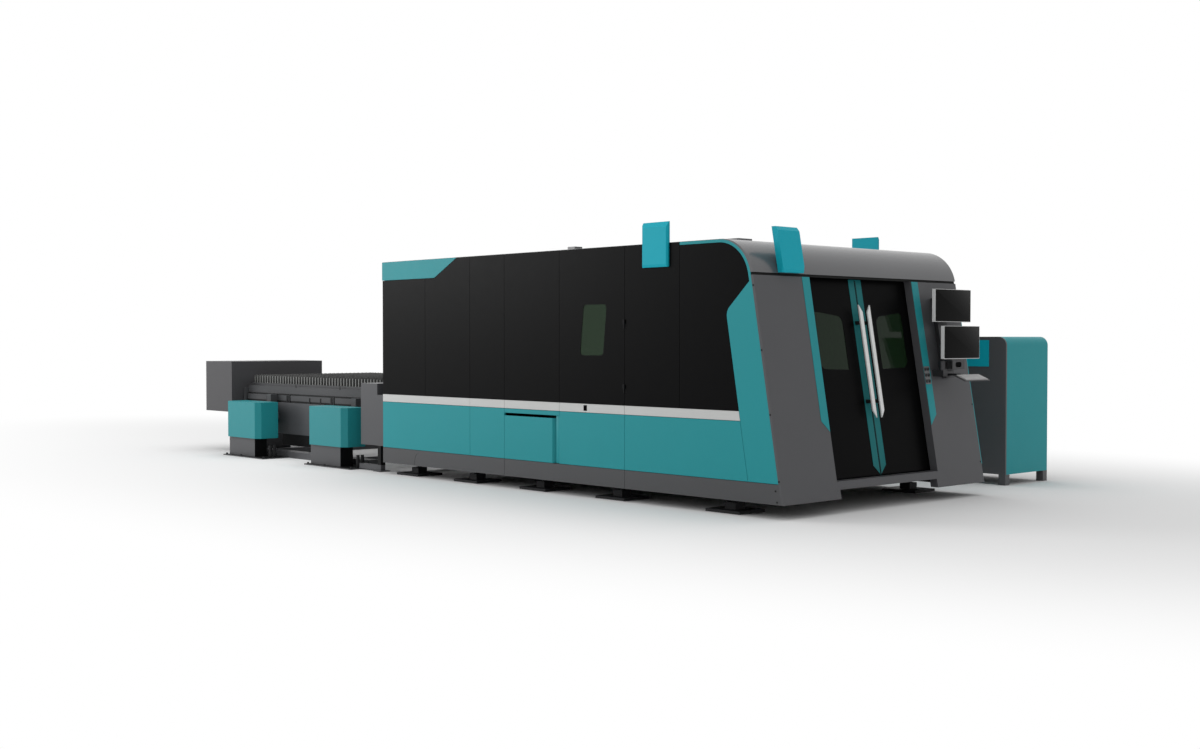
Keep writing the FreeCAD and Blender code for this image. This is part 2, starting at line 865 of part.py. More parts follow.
def hinge_half(name, low, way):
    """One half of a lift-off hinge: the fixed half carries the pin, the door's half runs on it."""
    centre = ("-door_front", "-hinge_radius")
    fixed = way == "1"
    start = low if fixed else f"({low} + hinge_length / 2)"
    knuckle_length = "(hinge_length / 2 - fit_gap)" if fixed else "(hinge_length / 2)"
    knuckle = rod(name + "_knuckle", "z", (*centre, start), "hinge_radius", knuckle_length)
    leaf_x = ("-door_front - hinge_leaf", "-door_front")
    if fixed:
        leaf_x = ("-door_front", "-door_front + hinge_leaf")
    leaf = block(name + "_leaf", leaf_x, ("-hinge_gauge", "0"), (start, f"{start} + {knuckle_length}"))
    weld = joined(name, [knuckle, leaf])
    if fixed:
        pin = rod(name + "_pin", "z", (*centre, low), "hinge_pin", "hinge_length")
        return joined(name + "_half", [weld, pin])
    bore = rod(name + "_bore", "z", (*centre, start), "hinge_pin + pin_clearance", knuckle_length)
    return less(name + "_half", weld, bore)


def build_roof_and_rear():
    """Roof sheet with its two low caps, the arched hood, and the rear wall with its opening."""
    top = ("body_top - gauge", "body_top")
    roof = block("roof", ("-body_length", back_of("seam_front")), ("0", "body_width"), top)
    caps = [block(name, (f"-{name}", f"-{name} + {name}_length"),
                  (f"{name}_near", f"{name}_near + {name}_width"), ("body_top", "body_top + cap_height"))
            for name in ("cap_rear", "cap_front")]
    node("roof_panel", [roof] + caps)

    under = "(body_top - gauge)"
    sheet_points = [
        (front("pillar_top"), "pillar_top"),
        (front("body_top"), "body_top"),
        (ahead_of("seam_front"), "body_top"),
        (ahead_of("seam_front"), under),
        (behind(under, "gauge"), under),
        (behind("pillar_top", "gauge"), "pillar_top"),
    ]
    arch = prism("hood_sheet", "XZ_Plane", sheet_points, "0", "body_width",
                 {"roof_radius - gauge": [4], "roof_radius": [1]})
    lip_end = behind(f"({SKIN_TOP} - roof_radius)", "rim + roof_radius / cos(front_lean) + skin_depth")
    lip_points = [
        (behind("pillar_top", "gauge"), "pillar_top"),
        (behind(under, "gauge"), under),
        (lip_end, under),
        (lip_end, SKIN_TOP),
        (behind(SKIN_TOP, "rim - fit_gap"), SKIN_TOP),
        (behind("pillar_top", "rim - fit_gap"), "pillar_top"),
    ]
    lip = prism("hood_lip", "XZ_Plane", lip_points, "0", "gauge",
                {"roof_radius": [4], "roof_radius - gauge": [1]})
    trim = block("hood_trim", ("-seam_front", "0"), ("-skin_depth", "body_width + skin_depth"),
                 ("base_top", "hood_bottom"))
    node("front_hood", [less("hood", joined("hood_weld", [arch, lip, across(lip)]), trim)])

    wall = prism("rear_sheet", "YZ_Plane",
                 rectangle(("skin_depth", "body_width - skin_depth"), ("base_top", SKIN_TOP)),
                 "-body_length", "-body_length + skin_depth", None, (1, 0, 0))
    doorway = rectangle((f"{MIDDLE} - opening_half", f"{MIDDLE} + opening_half"),
                        ("opening_low", "opening_high"))
    node("rear_wall", [cut_through("rear_wall_sheet", wall, "YZ_Plane", doorway,
                                   ("-body_length - skin_depth", "-body_length + 2 * skin_depth"))])


# ---------------------------------------------------------------- door end
def face_plate(name, points, setbacks, rounds=None):
    """A plate that leans with the front: its outline is drawn upright and cut from a leaning slab."""
    shape = prism(name + "_shape", "YZ_Plane", points, "-rail_front", "rail_front", rounds)
    slab = leaning(name + "_slab", setbacks, ("0", "body_width"), ("base_bottom", "body_top"))
    return shared(name, shape, slab)


def button_spots():
    """Places of the six buttons on the leaning face: y and level of each."""
    columns = ["button_side", "(button_side + button_across)"]
    rows = ["button_low", "(button_low + button_row)", "(button_low + 2 * button_row)"]
    return [(y, level) for level in rows for y in columns]


def button_rod(name, spot, radius, inner, outer):
    """A cylinder square to the leaning face, from a depth behind it to a height before it."""
    y, level = spot
    place = (f"{front(level)} - ({inner}) * cos(front_lean)", y, f"{level} - ({inner}) * sin(front_lean)")
    return rod(name, "x", place, radius, f"({inner}) + ({outer})", "90 - front_lean")


def build_door_end(side_trims):
    """Pillars, sill, teal strips and the push buttons of the door end."""
    inside = "(skin_depth + fit_gap)"
    tall = ("base_bottom", "pillar_top")
    main = leaning("pillar_main", ("0", "pillar_depth"), (inside, "pillar_width"), tall)
    hollow(main, (-1, 0, 0))
    flange = leaning("pillar_flange", ("0", "rim - fit_gap"), ("0", inside), tall)
    toe = leaning("pillar_toe", ("0", "pillar_depth"), ("pillar_width", "pillar_foot"),
                  ("base_bottom", "sill_bottom"))
    pillar = joined("pillar", [main, flange, toe])
    bores = doc.addObject("Part::Compound", "button_bores")
    bores.Links = [button_rod(f"button_bore_{i}", spot, "button_radius + pin_clearance", "pillar_depth / 2",
                              "pillar_depth / 2") for i, spot in enumerate(button_spots())]
    far_pillar = less("pillar_with_bores", across(pillar), bores)
    sill = leaning("sill", ("0", "pillar_depth"), ("pillar_width", "body_width - pillar_width"),
                   ("sill_bottom", "sill_top"))
    plate = leaning("button_plate", ("-(strip_proud + gauge)", "-strip_proud"),
                    ("body_width - pillar_width + seam", "button_side + button_across + 2 * button_radius"),
                    ("button_low - 2 * button_radius", "button_low + 2 * button_row + 2 * button_radius"))
    node("front_surround", [pillar, far_pillar, sill, less("button_plate_bored", plate, bores)])

    strip = face_plate("pillar_strip", [
        ("strip_outer", "strip_low"),
        ("pillar_width - seam", "strip_low - strip_point"),
        ("pillar_width - seam", "pillar_top"),
        ("strip_outer", "pillar_top"),
    ], ("-strip_proud", "0"))
    node("side_trims", side_trims + [strip, less("pillar_strip_bored", across(strip), bores)])

    height = "strip_proud + gauge + button_proud"
    for number, spot in enumerate(button_spots(), start=1):
        node(f"button_{number}", [button_rod(f"push_button_{number}", spot, "button_radius",
                                             "button_radius", height)])


def door_window(lap):
    """The near door's window, grown by a lap all round."""
    outer = f"(pillar_width - door_lap + window_margin - {lap})"
    inner = f"({MIDDLE} - window_inner + {lap})"
    return [
        (outer, f"window_low + window_drop - {lap}"),
        (inner, f"window_low - {lap}"),
        (inner, f"window_high + {lap}"),
        (outer, f"window_high + window_rise + {lap}"),
    ]


def build_sliding_doors():
    """The two sliding doors with windows, teal meeting edges and handles."""
    edge = f"({MIDDLE} - meeting_gap / 2)"
    leaf = leaning("door_leaf_panel", ("door_setback", "door_setback + door_leaf"),
                   ("pillar_width - door_lap", edge), ("door_bottom", "door_top"))
    hollow(leaf, (-1, 0, 0))
    leaf = cut_through("door_leaf_cut", leaf, "YZ_Plane", door_window("0"), ("-rail_front", "0"),
                       {"window_arc": [0, 2], "window_corner": [1], "window_radius": [3]})
    pane = face_plate("door_pane", door_window("glass_lap"),
                      ("door_setback + gauge + fit_gap", "door_setback + gauge + fit_gap + glass"))
    strip = face_plate("door_strip", [
        (f"{edge} - door_edge", "door_bottom + edge_point"),
        (edge, "door_bottom"),
        (edge, "pillar_top"),
        (f"{edge} - door_edge", "pillar_top"),
    ], ("door_setback - strip_proud", "door_setback"))
    handle_side = f"({MIDDLE} - handle_off)"
    grip_back = "door_setback - handle_gap"
    grip = face_plate("handle_grip", [
        (f"{handle_side} - handle_width", "handle_low + handle_slant"),
        (handle_side, "handle_low"),
        (handle_side, "handle_high - handle_slant"),
        (f"{handle_side} - handle_width", "handle_high"),
    ], (f"{grip_back} - handle_thick", grip_back))
    middle = f"({handle_side} - handle_width / 2)"
    post_y = (f"{middle} - handle_post / 2", f"{middle} + handle_post / 2")
    posts = [leaning(f"handle_stand_{i}", (grip_back, "door_setback - strip_proud"), post_y,
                     (low, f"{low} + handle_post"))
             for i, low in enumerate(("handle_post_low", "handle_post_high"))]
    parts = {"panel": [leaf], "window": [pane], "edge": [strip], "handle": [grip] + posts}
    for name, pieces in parts.items():
        node(f"near_door_{name}", pieces)
        node(f"far_door_{name}", [across(piece) for piece in pieces])


# ---------------------------------------------------------------- service door and drawer
def side_window(lap):
    """The service door's leaning window, grown by a lap all round."""
    return [
        (f"-side_window_rear - {lap}", f"side_window_low - {lap}"),
        (f"-side_window_front + {lap}", f"side_window_low - {lap}"),
        (f"-side_window_front + side_window_lean + {lap}", f"side_window_high + {lap}"),
        (f"-side_window_rear + side_window_lean - {lap}", f"side_window_high + {lap}"),
    ]


def build_service_door():
    """The hinged door in the near long side with its frame, window and pull."""
    row = (ahead_of("door_rear"), back_of("door_front"))
    upper = skin("door_upper", rectangle(row, UPPER))
    upper = cut_through("door_upper_cut", upper, "XZ_Plane", side_window("0"), ("-skin_depth", "skin_depth"),
                        {"window_radius": [0, 1, 2, 3]})
    stripe = skin("door_stripe", rectangle(row, STRIPE))
    pull = rectangle(("-pull_rear", "-pull_front"), ("pull_low", "pull_high"))
    stripe = cut_through("door_stripe_cut", stripe, "XZ_Plane", pull, ("-skin_depth", "skin_depth"))
    cup = prism("pull_cup", "XZ_Plane", rectangle(("-pull_rear + fit_gap", "-pull_front - fit_gap"),
                                                  ("pull_low + fit_gap", "pull_high - fit_gap")),
                "0", "skin_depth", None, (0, -1, 0))
    pane = prism("side_pane", "XZ_Plane", side_window("glass_lap"), "gauge", "gauge + glass")
    y = ("skin_depth", "skin_depth + leaf_frame")
    top = "(body_top - gauge - frame_tube - seam)"
    stiles = [
        block("stile_rear", (row[0], f"{row[0]} + leaf_frame"), y, (LOWER[0], top)),
        block("stile_front", (f"{row[1]} - leaf_frame", row[1]), y, (LOWER[0], top)),
    ]
    rail_x = (f"{row[0]} + leaf_frame", f"{row[1]} - leaf_frame")
    levels = [LOWER[0], f"({LOWER[1]} - leaf_frame)", UPPER[0], f"({top} - leaf_frame)"]
    rails = [block(f"door_rail_{i}", rail_x, y, (low, f"{low} + leaf_frame")) for i, low in enumerate(levels)]
    halves = [hinge_half(f"hinge_door_{i}", low, "-1") for i, low in enumerate(hinge_levels())]
    node("service_door_frame", stiles + rails + halves)
    node("service_door_upper", [upper])
    node("service_door_stripe", [stripe])
    node("service_door_lower", [skin("door_lower", rectangle(row, LOWER))])
    node("service_door_window", [pane])
    node("service_door_pull", [cup])


def build_drawer():
    """The scrap drawer: a folded front with a slanted finger edge, and a tray behind it."""
    rear = ahead_of("drawer_rear")
    folded = [
        (rear, "0"),
        ("-drawer_fold", "0"),
        ("-drawer_fold_end", "drawer_fold_depth"),
        ("-drawer_fold_end - gauge", "drawer_fold_depth + gauge"),
        ("-drawer_fold - gauge / 2", "gauge"),
        (f"{rear} + gauge", "gauge"),
        (f"{rear} + gauge", "skin_depth"),
        (rear, "skin_depth"),
    ]
    face = prism("drawer_face", "XY_Plane", folded, LOWER[0], "drawer_slot_low")
    node("drawer_front", [face])
    tray = prism("drawer_box", "XY_Plane", rectangle(("-drawer_tray_rear", "-drawer_tray_front"),
                                                     ("drawer_tray_near", "drawer_depth")),
                 "drawer_tray_low", "drawer_tray_high", None, (0, 0, 1))
    arms = [block(f"drawer_arm_{i}", (low, f"{low} + frame_tube"), ("gauge", "drawer_tray_near"),
                  ("drawer_tray_low", "drawer_tray_high"))
            for i, low in enumerate(("-drawer_tray_rear", "(-drawer_fold - 2 * frame_tube)"))]
    node("drawer_tray", [tray] + arms)


# ---------------------------------------------------------------- feet, rails, gantry and head
def build_feet():
    """Levelling feet: a floor pad, a block and a screw under the bed's side beams."""
    pieces = []
    for i, place in enumerate(("foot_rear_end", "foot_rear", "foot_middle", "foot_front", "foot_door_end")):
        middle = f"-{place}"
        centre = "((foot_near + foot_far) / 2)"
        pieces.append(block(f"foot_pad_{i}", (f"{middle} - foot_length / 2", f"{middle} + foot_length / 2"),
                            ("foot_near", "foot_far"), ("0", "foot_thick")))
        pieces.append(block(f"foot_block_{i}", (f"{middle} - foot_block / 2", f"{middle} + foot_block / 2"),
                            (f"{centre} - foot_block / 2", f"{centre} + foot_block / 2"),
                            ("foot_thick", "foot_block_high")))
        pieces.append(rod(f"foot_screw_{i}", "z", (middle, centre, "foot_block_high"), "foot_screw",
                          "base_bottom - foot_block_high"))
    node("levelling_feet", both(pieces))


def build_gantry():
    """Rails on the bed, the gantry beam that runs on them, the carriage and the cutting head."""
    ends = ("(-body_length + skin_depth)", "-rail_front")
    rail_y = ("rail_centre - rail_width / 2", "rail_centre + rail_width / 2")
    rail = block("linear_rail", ends, rail_y, ("rail_beam_high", "rail_beam_high + rail_height"))
    rack = block("rack", ends, ("rack_near", "rack_near + rack_width"),
                 ("rail_beam_high", "rail_beam_high + rack_width"))
    node("gantry_rails", both([rail, rack]))

    beam_x = ("-gantry_park - beam_depth / 2", "(-gantry_park + beam_depth / 2)")
    beam_y = ("beam_near", "body_width - beam_near")
    outer = block("beam_outer", beam_x, beam_y, ("beam_low", "beam_high"))
    inner = block("beam_inner", (f"{beam_x[0]} + beam_wall", f"{beam_x[1]} - beam_wall"), beam_y,
                  ("beam_low + beam_wall", "beam_high - beam_wall"))
    tube = less("beam_tube", outer, inner)
    shoe_x = ("-gantry_park - carriage_length / 2", "-gantry_park + carriage_length / 2")
    top = "(rail_beam_high + rail_height + fit_gap)"
    shoe = block("shoe", shoe_x, ("shoe_near", "shoe_far"), (top, "beam_low"))
    cheek_z = ("rail_beam_high + seam", top)
    cheeks = [
        block("shoe_cheek_near", shoe_x, ("shoe_near", f"{rail_y[0]} - fit_gap"), cheek_z),
        block("shoe_cheek_far", shoe_x, (f"{rail_y[1]} + fit_gap", "shoe_far"), cheek_z),
    ]
    guide_x = (beam_x[1], f"({beam_x[1]} + beam_rail_depth)")
    guide_y = ("beam_near + beam_rail_end", "body_width - beam_near - beam_rail_end")
    guides = [
        block("beam_guide_low", guide_x, guide_y,
              ("beam_low + beam_rail_margin", "beam_low + beam_rail_margin + beam_rail_height")),
        block("beam_guide_high", guide_x, guide_y,
              ("beam_high - beam_rail_margin - beam_rail_height", "beam_high - beam_rail_margin")),
    ]
    node("gantry_beam", [tube] + guides + both([shoe] + cheeks))

    face = f"({guide_x[1]} + fit_gap)"
    plate = block("carriage_plate", (face, f"{face} + carriage_depth"),
                  ("carriage_park - carriage_width / 2", "carriage_park + carriage_width / 2"),
                  ("carriage_low", "carriage_high"))
    node("y_carriage", [plate])

    slide = f"({face} + carriage_depth + fit_gap)"
    slider = block("head_slide", (slide, f"{slide} + slide_depth"),
                   ("carriage_park - slide_width / 2", "carriage_park + slide_width / 2"),
                   ("slide_low", "slide_high"))
    axis_x = f"({slide} + slide_depth + head_radius)"
    barrel = rod("head_barrel", "z", (axis_x, "carriage_park", "head_low"), "head_radius",
                 "head_high - head_low")
    nozzle = doc.addObject("Part::Cone", "nozzle")
    nozzle.setExpression("Radius1", cells("nozzle_radius"))
    nozzle.setExpression("Radius2", cells("nozzle_root"))
    nozzle.setExpression("Height", cells("head_low - nozzle_tip"))
    for letter, value in zip("xyz", (axis_x, "carriage_park", "nozzle_tip")):
        nozzle.setExpression(f"Placement.Base.{letter}", cells(value))
    bridge = block("head_bridge", (f"{slide} + slide_depth", axis_x),
                   ("carriage_park - head_radius / 2", "carriage_park + head_radius / 2"),
                   ("slide_low", "head_high"))
    node("cutting_head", [slider, joined("head_body", [barrel, nozzle, bridge])])


# ---------------------------------------------------------------- exchange table
def column_spans():
    """The two columns of a side along x."""
    return [(f"(-({start} + column_length))", f"(-{start})") for start in ("column_front", "column_middle")]


def build_bases():
    """Floor plates with bolts and studs, the columns standing on them, and the columns' covers."""
    bases = []
    covers = []
    for i, (rear, fore) in enumerate(column_spans()):
        middle = f"(({rear} + {fore}) / 2)"
        plate_x = (rear, f"({fore} + plate_run)")
        plate_y = ("-plate_reach", "column_depth + plate_reach")
        bases.append(block(f"base_plate_{i}", plate_x, plate_y, ("0", "plate_thick")))
        bases.append(block(f"pedestal_{i}", (f"{rear} + pedestal_inset", f"{fore} - pedestal_fore_inset"),
                           ("pedestal_inset", "column_depth - pedestal_far_inset"),
                           ("plate_thick", "cover_high - gauge")))
        bases.append(block(f"guide_{i}", (f"{middle} - guide_width / 2", f"{middle} + guide_width / 2"),
                           ("column_depth", "column_depth + guide_thick"), ("cover_low", "cover_high")))
        bolt_y = ("(-plate_reach + bolt_inset)", "(column_depth + plate_reach - bolt_inset)")
        for j, x in enumerate((f"({plate_x[0]} + bolt_inset)", middle, f"({plate_x[1]} - bolt_inset)")):
            for k, y in enumerate(bolt_y):
                bases.append(rod(f"bolt_{i}{j}{k}", "z", (x, y, "plate_thick"), "bolt_radius", "bolt_height"))
        stud_x = f"({plate_x[1]} - stud_inset)"
        for k, y in enumerate(("stud_near", "stud_far")):
            shank = rod(f"stud_{i}{k}", "z", (stud_x, y, "plate_thick"), "bolt_radius", "stud_height")
            head = rod(f"stud_head_{i}{k}", "z", (stud_x, y, "plate_thick + stud_height - stud_head_high"),
                       "stud_head", "stud_head_high")
            bases.append(joined(f"jack_{i}{k}", [shank, head]))
        covers.append(prism(f"cover_{i}", "XY_Plane", [
            (rear, "column_depth"),
            (rear, "column_chamfer"),
            (f"{rear} + column_chamfer", "0"),
            (f"{fore} - column_chamfer", "0"),
            (fore, "column_chamfer"),
            (fore, "column_depth"),
        ], "cover_low", "cover_high", None, (0, 0, -1)))
    node("table_bases", both(bases))
    node("column_covers", both(covers))


def build_table_frame():
    """The floor frame, the side panels carried by the columns, and the boxes at the rear opening."""
    first, last = column_spans()
    panel_far = "(side_panel_near + side_panel_thick)"
    beam = block("floor_beam", (last[0], first[1]), ("column_depth + plate_reach", panel_far),
                 ("0", "floor_beam_high"))
    panel_x = (f"({last[1]} - panel_rear_reach)", f"({first[0]} + panel_fore_reach)")
    panel_y = ("side_panel_near", panel_far)
    panel = block("side_panel", panel_x, panel_y, ("side_panel_low", "side_panel_high"))
    sill = block("panel_sill", (f"{panel_x[0]} + panel_sill_inset", panel_x[1]),
                 ("side_panel_near + panel_sill_set", panel_far), ("panel_sill_low", "side_panel_low"))
    arms = [block(f"panel_arm_{i}", (start, f"{start} + panel_arm"), ("column_depth", "side_panel_near"),
                  ("panel_arm_low", "panel_arm_high"))
            for i, start in enumerate((panel_x[0], f"({panel_x[1]} - panel_arm)"))]
    centres = [f"(({rear} + {fore}) / 2)" for rear, fore in column_spans()]
    ties = [block(f"floor_tie_{i}", (f"{centre} - lift_tie / 2", f"{centre} + lift_tie / 2"),
                  (panel_far, f"body_width - {panel_far}"), ("0", "floor_beam_high"))
            for i, centre in enumerate(centres)]
    box_points = [
        ("-pass_rear", "pass_low"),
        ("-body_length", "pass_low"),
        ("-body_length", "pass_notch_low"),
        ("-pass_notch_start", "pass_notch_low"),
        ("-pass_notch_start", "pass_high"),
        ("-pass_rear", "pass_high"),
    ]
    box = prism("passage_box", "XZ_Plane", box_points, "pass_side", "pass_inner - gauge", None, (0, 1, 0))
    lid = prism("passage_lid", "XZ_Plane", box_points, "pass_inner - gauge", "pass_inner")
    leg = block("passage_leg", ("-pass_leg_rear", "-pass_leg_rear + pass_leg"),
                ("pass_side", "pass_side + pass_leg"), ("plate_thick", "pass_low"))
    margin = "((pass_foot - pass_leg) / 2)"
    foot = block("passage_foot", (f"-pass_leg_rear - {margin}", f"-pass_leg_rear + pass_leg + {margin}"),
                 (f"pass_side - {margin}", f"pass_side + pass_leg + {margin}"), ("0", "plate_thick"))
    link = block("floor_link", (f"{first[1]} + plate_run - link_lap", "-pass_leg_rear"),
                 ("pass_side", "pass_side + pass_leg"), ("plate_thick", "plate_thick + link_high"))
    node("table_frame", both([beam, panel, sill, box, lid, leg, foot, link] + arms) + ties)


def build_lift():
    """The lift frame with an upper and a lower pair of rails, guided by the columns."""
    ends = ("-pallet_outer_end", "(-(pass_rear + lift_gap))")
    low_rail = "(deck_level - deck_drop)"
    beam_y = ("lift_side", "lift_side + lift_beam")
    upper_z = ("deck_level - deck_depth", "deck_level")
    lower_z = (f"{low_rail} - lift_tube", low_rail)
    pieces = [
        block("upper_rail", ends, beam_y, upper_z),
        block("lower_rail", ends, beam_y, lower_z),
        block("rail_skirt", ends, ("lift_side", "lift_side + skirt_thick"), ("skirt_low", upper_z[0])),
        prism("rail_stop", "XZ_Plane", [
            (ends[0], "skirt_low"),
            (ends[0], "deck_level"),
            (f"{ends[0]} - fit_gap", "deck_level"),
            (f"{ends[0]} - fit_gap", "stop_high"),
            (f"{ends[0]} - stop_tip", "stop_high"),
            (f"{ends[0]} - stop_reach", "skirt_low"),
        ], "stop_near", "stop_far"),
    ]
    for i, (rear, fore) in enumerate(column_spans()):
        middle = f"(({rear} + {fore}) / 2)"
        strut_x = (f"{middle} - lift_strut / 2", f"{middle} + lift_strut / 2")
        pieces.append(block(f"strut_{i}", strut_x, ("lift_side - lift_strut", "lift_side"),
                            (lower_z[0], upper_z[1])))
        pieces.append(block(f"guide_shoe_{i}", strut_x,
                            ("column_depth + guide_thick + fit_gap", "lift_side - lift_strut"),
                            ("shoe_low", "shoe_high")))
    ties = []
    tie_y = ("lift_side + lift_beam", "body_width - lift_side - lift_beam")
    starts = (ends[0], f"(({ends[0]} + {ends[1]} - lift_tie) / 2)", f"({ends[1]} - lift_tie)")
    for i, low in enumerate(starts):
        tie_x = (low, f"{low} + lift_tie")
        ties.append(block(f"upper_tie_{i}", tie_x, tie_y, upper_z))
        ties.append(block(f"lower_tie_{i}", tie_x, tie_y, lower_z))
    node("lift_frame", both(pieces) + ties)


def slat_points():
    """The outline of one slat: a flat foot and a toothed top edge."""
    near = "slat_side"
    far = "(body_width - slat_side)"
    pitch = f"(({far} - {near}) / slat_teeth)"
    root = "(slat_top - tooth_height)"
    points = [(far, "slat_bottom + fit_gap"), (far, root)]
    for i in reversed(range(int(value_of("slat_teeth")))):
        points.append((f"{near} + ({i} + 0.5) * {pitch}", "slat_top"))
        points.append((f"{near} + {i} * {pitch}", root))
    points.append((near, "slat_bottom + fit_gap"))
    return points


def build_pallets():
    """Two toothed-slat pallets on wheels: the outer on the lift, the inner in the machine."""
    outer_x = "(-pallet_outer_end)"
    inner_x = "(-pallet_outer_end + pallet_length)"
    frame_low = "(deck_level + pallet_beam_clear)"
    beam_in = "(pallet_side + pallet_rail_width)"
    side = prism("pallet_beam", "YZ_Plane", [
        ("pallet_side", frame_low),
        (beam_in, frame_low),
        (beam_in, "slat_bottom"),
        ("pallet_side + pallet_step", "slat_bottom"),
        ("pallet_side + pallet_step", "pallet_ledge"),
        ("pallet_side", "pallet_ledge"),
    ], outer_x, inner_x)
    cross_y = (beam_in, f"body_width - {beam_in}")
    ends = [
        block("pallet_end_outer", (outer_x, f"{outer_x} + pallet_end"), cross_y, (frame_low, "slat_bottom")),
        block("pallet_end_inner", (f"{inner_x} - pallet_end", inner_x), cross_y, (frame_low, "slat_bottom")),
    ]
    axles = [f"({outer_x} + axle_inset)", f"({inner_x} - axle_inset)"]
    axle_z = "(deck_level + wheel_radius)"
    bridges = []
    bearings = []
    wheelsets = []
    for i, place in enumerate(axles):
        bridge_x = (f"{place} - bridge_width / 2", f"{place} + bridge_width / 2")
        bridges.append(block(f"bridge_{i}", bridge_x, cross_y, ("bridge_low", "slat_bottom")))
        lug = block(f"bearing_lug_{i}", bridge_x, ("bearing_near", "bearing_near + bearing_width"),
                    ("bearing_low", "bridge_low"))
        bore = rod(f"bearing_bore_{i}", "y", (place, "bearing_near", axle_z), "axle_radius + pin_clearance",
                   "bearing_width")
        bearings.append(less(f"bearing_{i}", lug, bore))
        axle = rod(f"axle_{i}", "y", (place, f"{beam_in} + fit_gap", axle_z), "axle_radius",
                   f"body_width - 2 * ({beam_in} + fit_gap)")
        wheel = rod(f"wheel_{i}", "y", (place, f"{beam_in} + pallet_beam_clear", axle_z), "wheel_radius",
                    "wheel_width")
        wheelsets.append(joined(f"wheelset_{i}", [axle, wheel, across(wheel)]))
    slats = prism("slats", "YZ_Plane", slat_points(), f"({outer_x} + slat_margin)",
                  f"({outer_x} + slat_margin + slat_gauge)")
    row = slats.newObject("PartDesign::LinearPattern", "slat_row")
    row.Originals = [slats.Tip]
    row.Direction = (slats.Group[0], ["N_Axis"])
    row.setExpression("Length", cells("slat_pitch * (slat_count - 1)"))
    row.setExpression("Occurrences", cells("slat_count"))
    slats.Tip = row
    doc.recompute()
    frame = both([side] + bearings) + ends + bridges
    node("outer_pallet_frame", frame)
    node("outer_pallet_slats", [slats])
    shift = ("pallet_travel", "0", "-deck_drop")
    node("inner_pallet_frame", [moved(piece, *shift) for piece in frame])
    node("inner_pallet_slats", [moved(slats, *shift)])
    for number, wheels in enumerate(wheelsets, start=1):
        node(f"outer_wheelset_{number}", [wheels])
        node(f"inner_wheelset_{number}", [moved(wheels, *shift)])


# ---------------------------------------------------------------- cabinets, signs and console
def build_cabinets():
    """The cabinet behind the table and the free-standing source cabinet."""
    x = ("-end_rear", "-end_front")
    y = ("end_near", "end_far")
    z = ("end_low", "end_high")
    shell = block("end_shell", x, y, z)
    room = block("end_room", *[(f"{low} + gauge", f"{high} - gauge") for low, high in (x, y, z)])
    entry = block("end_entry", ("-pedestal_rear + cable_entry", "-pedestal_front - cable_entry"),
                  ("pedestal_near + cable_entry", "pedestal_far - cable_entry"),
                  ("end_low", "end_low + 2 * gauge"))
    pedestal_y = ("pedestal_near", "pedestal_far")
    pedestal = block("end_pedestal", ("-pedestal_rear", "-pedestal_front"), pedestal_y,
                     ("plate_thick", "end_low"))
    foot = block("end_foot", ("-pedestal_rear - cable_entry", "-pedestal_front + cable_entry"),
                 ("pedestal_near - cable_entry", "pedestal_far + cable_entry"), ("0", "plate_thick"))
    node("end_cabinet", [less("end_case", less("end_box", shell, room), entry), pedestal, foot])

    x0, x1 = "(-source_rear)", "(-source_front)"
    low, high = "source_low", "source_high"
    full = rectangle((x0, x1), (low, high))
    corners = {"source_radius": [2, 3]}
    face_end = "(source_near + source_face)"
    plate = prism("source_plate", "XZ_Plane", full, "source_near", face_end, corners)
    core_in = "(gauge + fit_gap)"
    core_points = rectangle((f"{x0} + {core_in}", f"{x1} - {core_in}"), (low, f"{high} - {core_in}"))
    core = prism("source_core", "XZ_Plane", core_points, face_end, "source_far - gauge",
                 {f"source_radius - {core_in}": [2, 3]}, (0, 1, 0))
    back = prism("source_back", "XZ_Plane", core_points, "source_far - gauge", "source_far",
                 {f"source_radius - {core_in}": [2, 3]})
    legs = [block(f"source_leg_{i}{j}", (lx, f"{lx} + source_leg"), (ly, f"{ly} + source_leg"), ("0", low))
            for i, lx in enumerate((x0, f"({x1} - source_leg)"))
            for j, ly in enumerate(("source_near", "(source_far - source_leg)"))]
    node("cabinet_case", [plate, core, back] + legs)
    wrap = prism("source_wrap", "XZ_Plane", [
        (x0, low),
        (f"{x0} + gauge", low),
        (f"{x0} + gauge", f"{high} - gauge"),
        (f"{x1} - gauge", f"{high} - gauge"),
        (f"{x1} - gauge", low),
        (x1, low),
        (x1, high),
        (x0, high),
    ], face_end, "source_far", {"source_radius - gauge": [2, 3], "source_radius": [6, 7]})
    node("cabinet_shell", [wrap])


UPRIGHT = 0.9   # least rise of a unit tangent that counts as upright


def bevel_sides(body, side, size):
    """Chamfer the two upright edges of the face that looks to the given side."""
    base = body.Tip
    way = FreeCAD.Vector(*side)
    face = max(base.Shape.Faces, key=lambda item: item.normalAt(0, 0).dot(way))
    names = [f"Edge{number}" for number, edge in enumerate(base.Shape.Edges, start=1)
             if abs(edge.tangentAt(edge.FirstParameter).z) > UPRIGHT
             and any(edge.isSame(other) for other in face.Edges)]
    chamfer = body.newObject("PartDesign::Chamfer", body.Name + "_bevel")
    chamfer.Base = (base, names)
    chamfer.setExpression("Size", cells(size))
    doc.recompute()


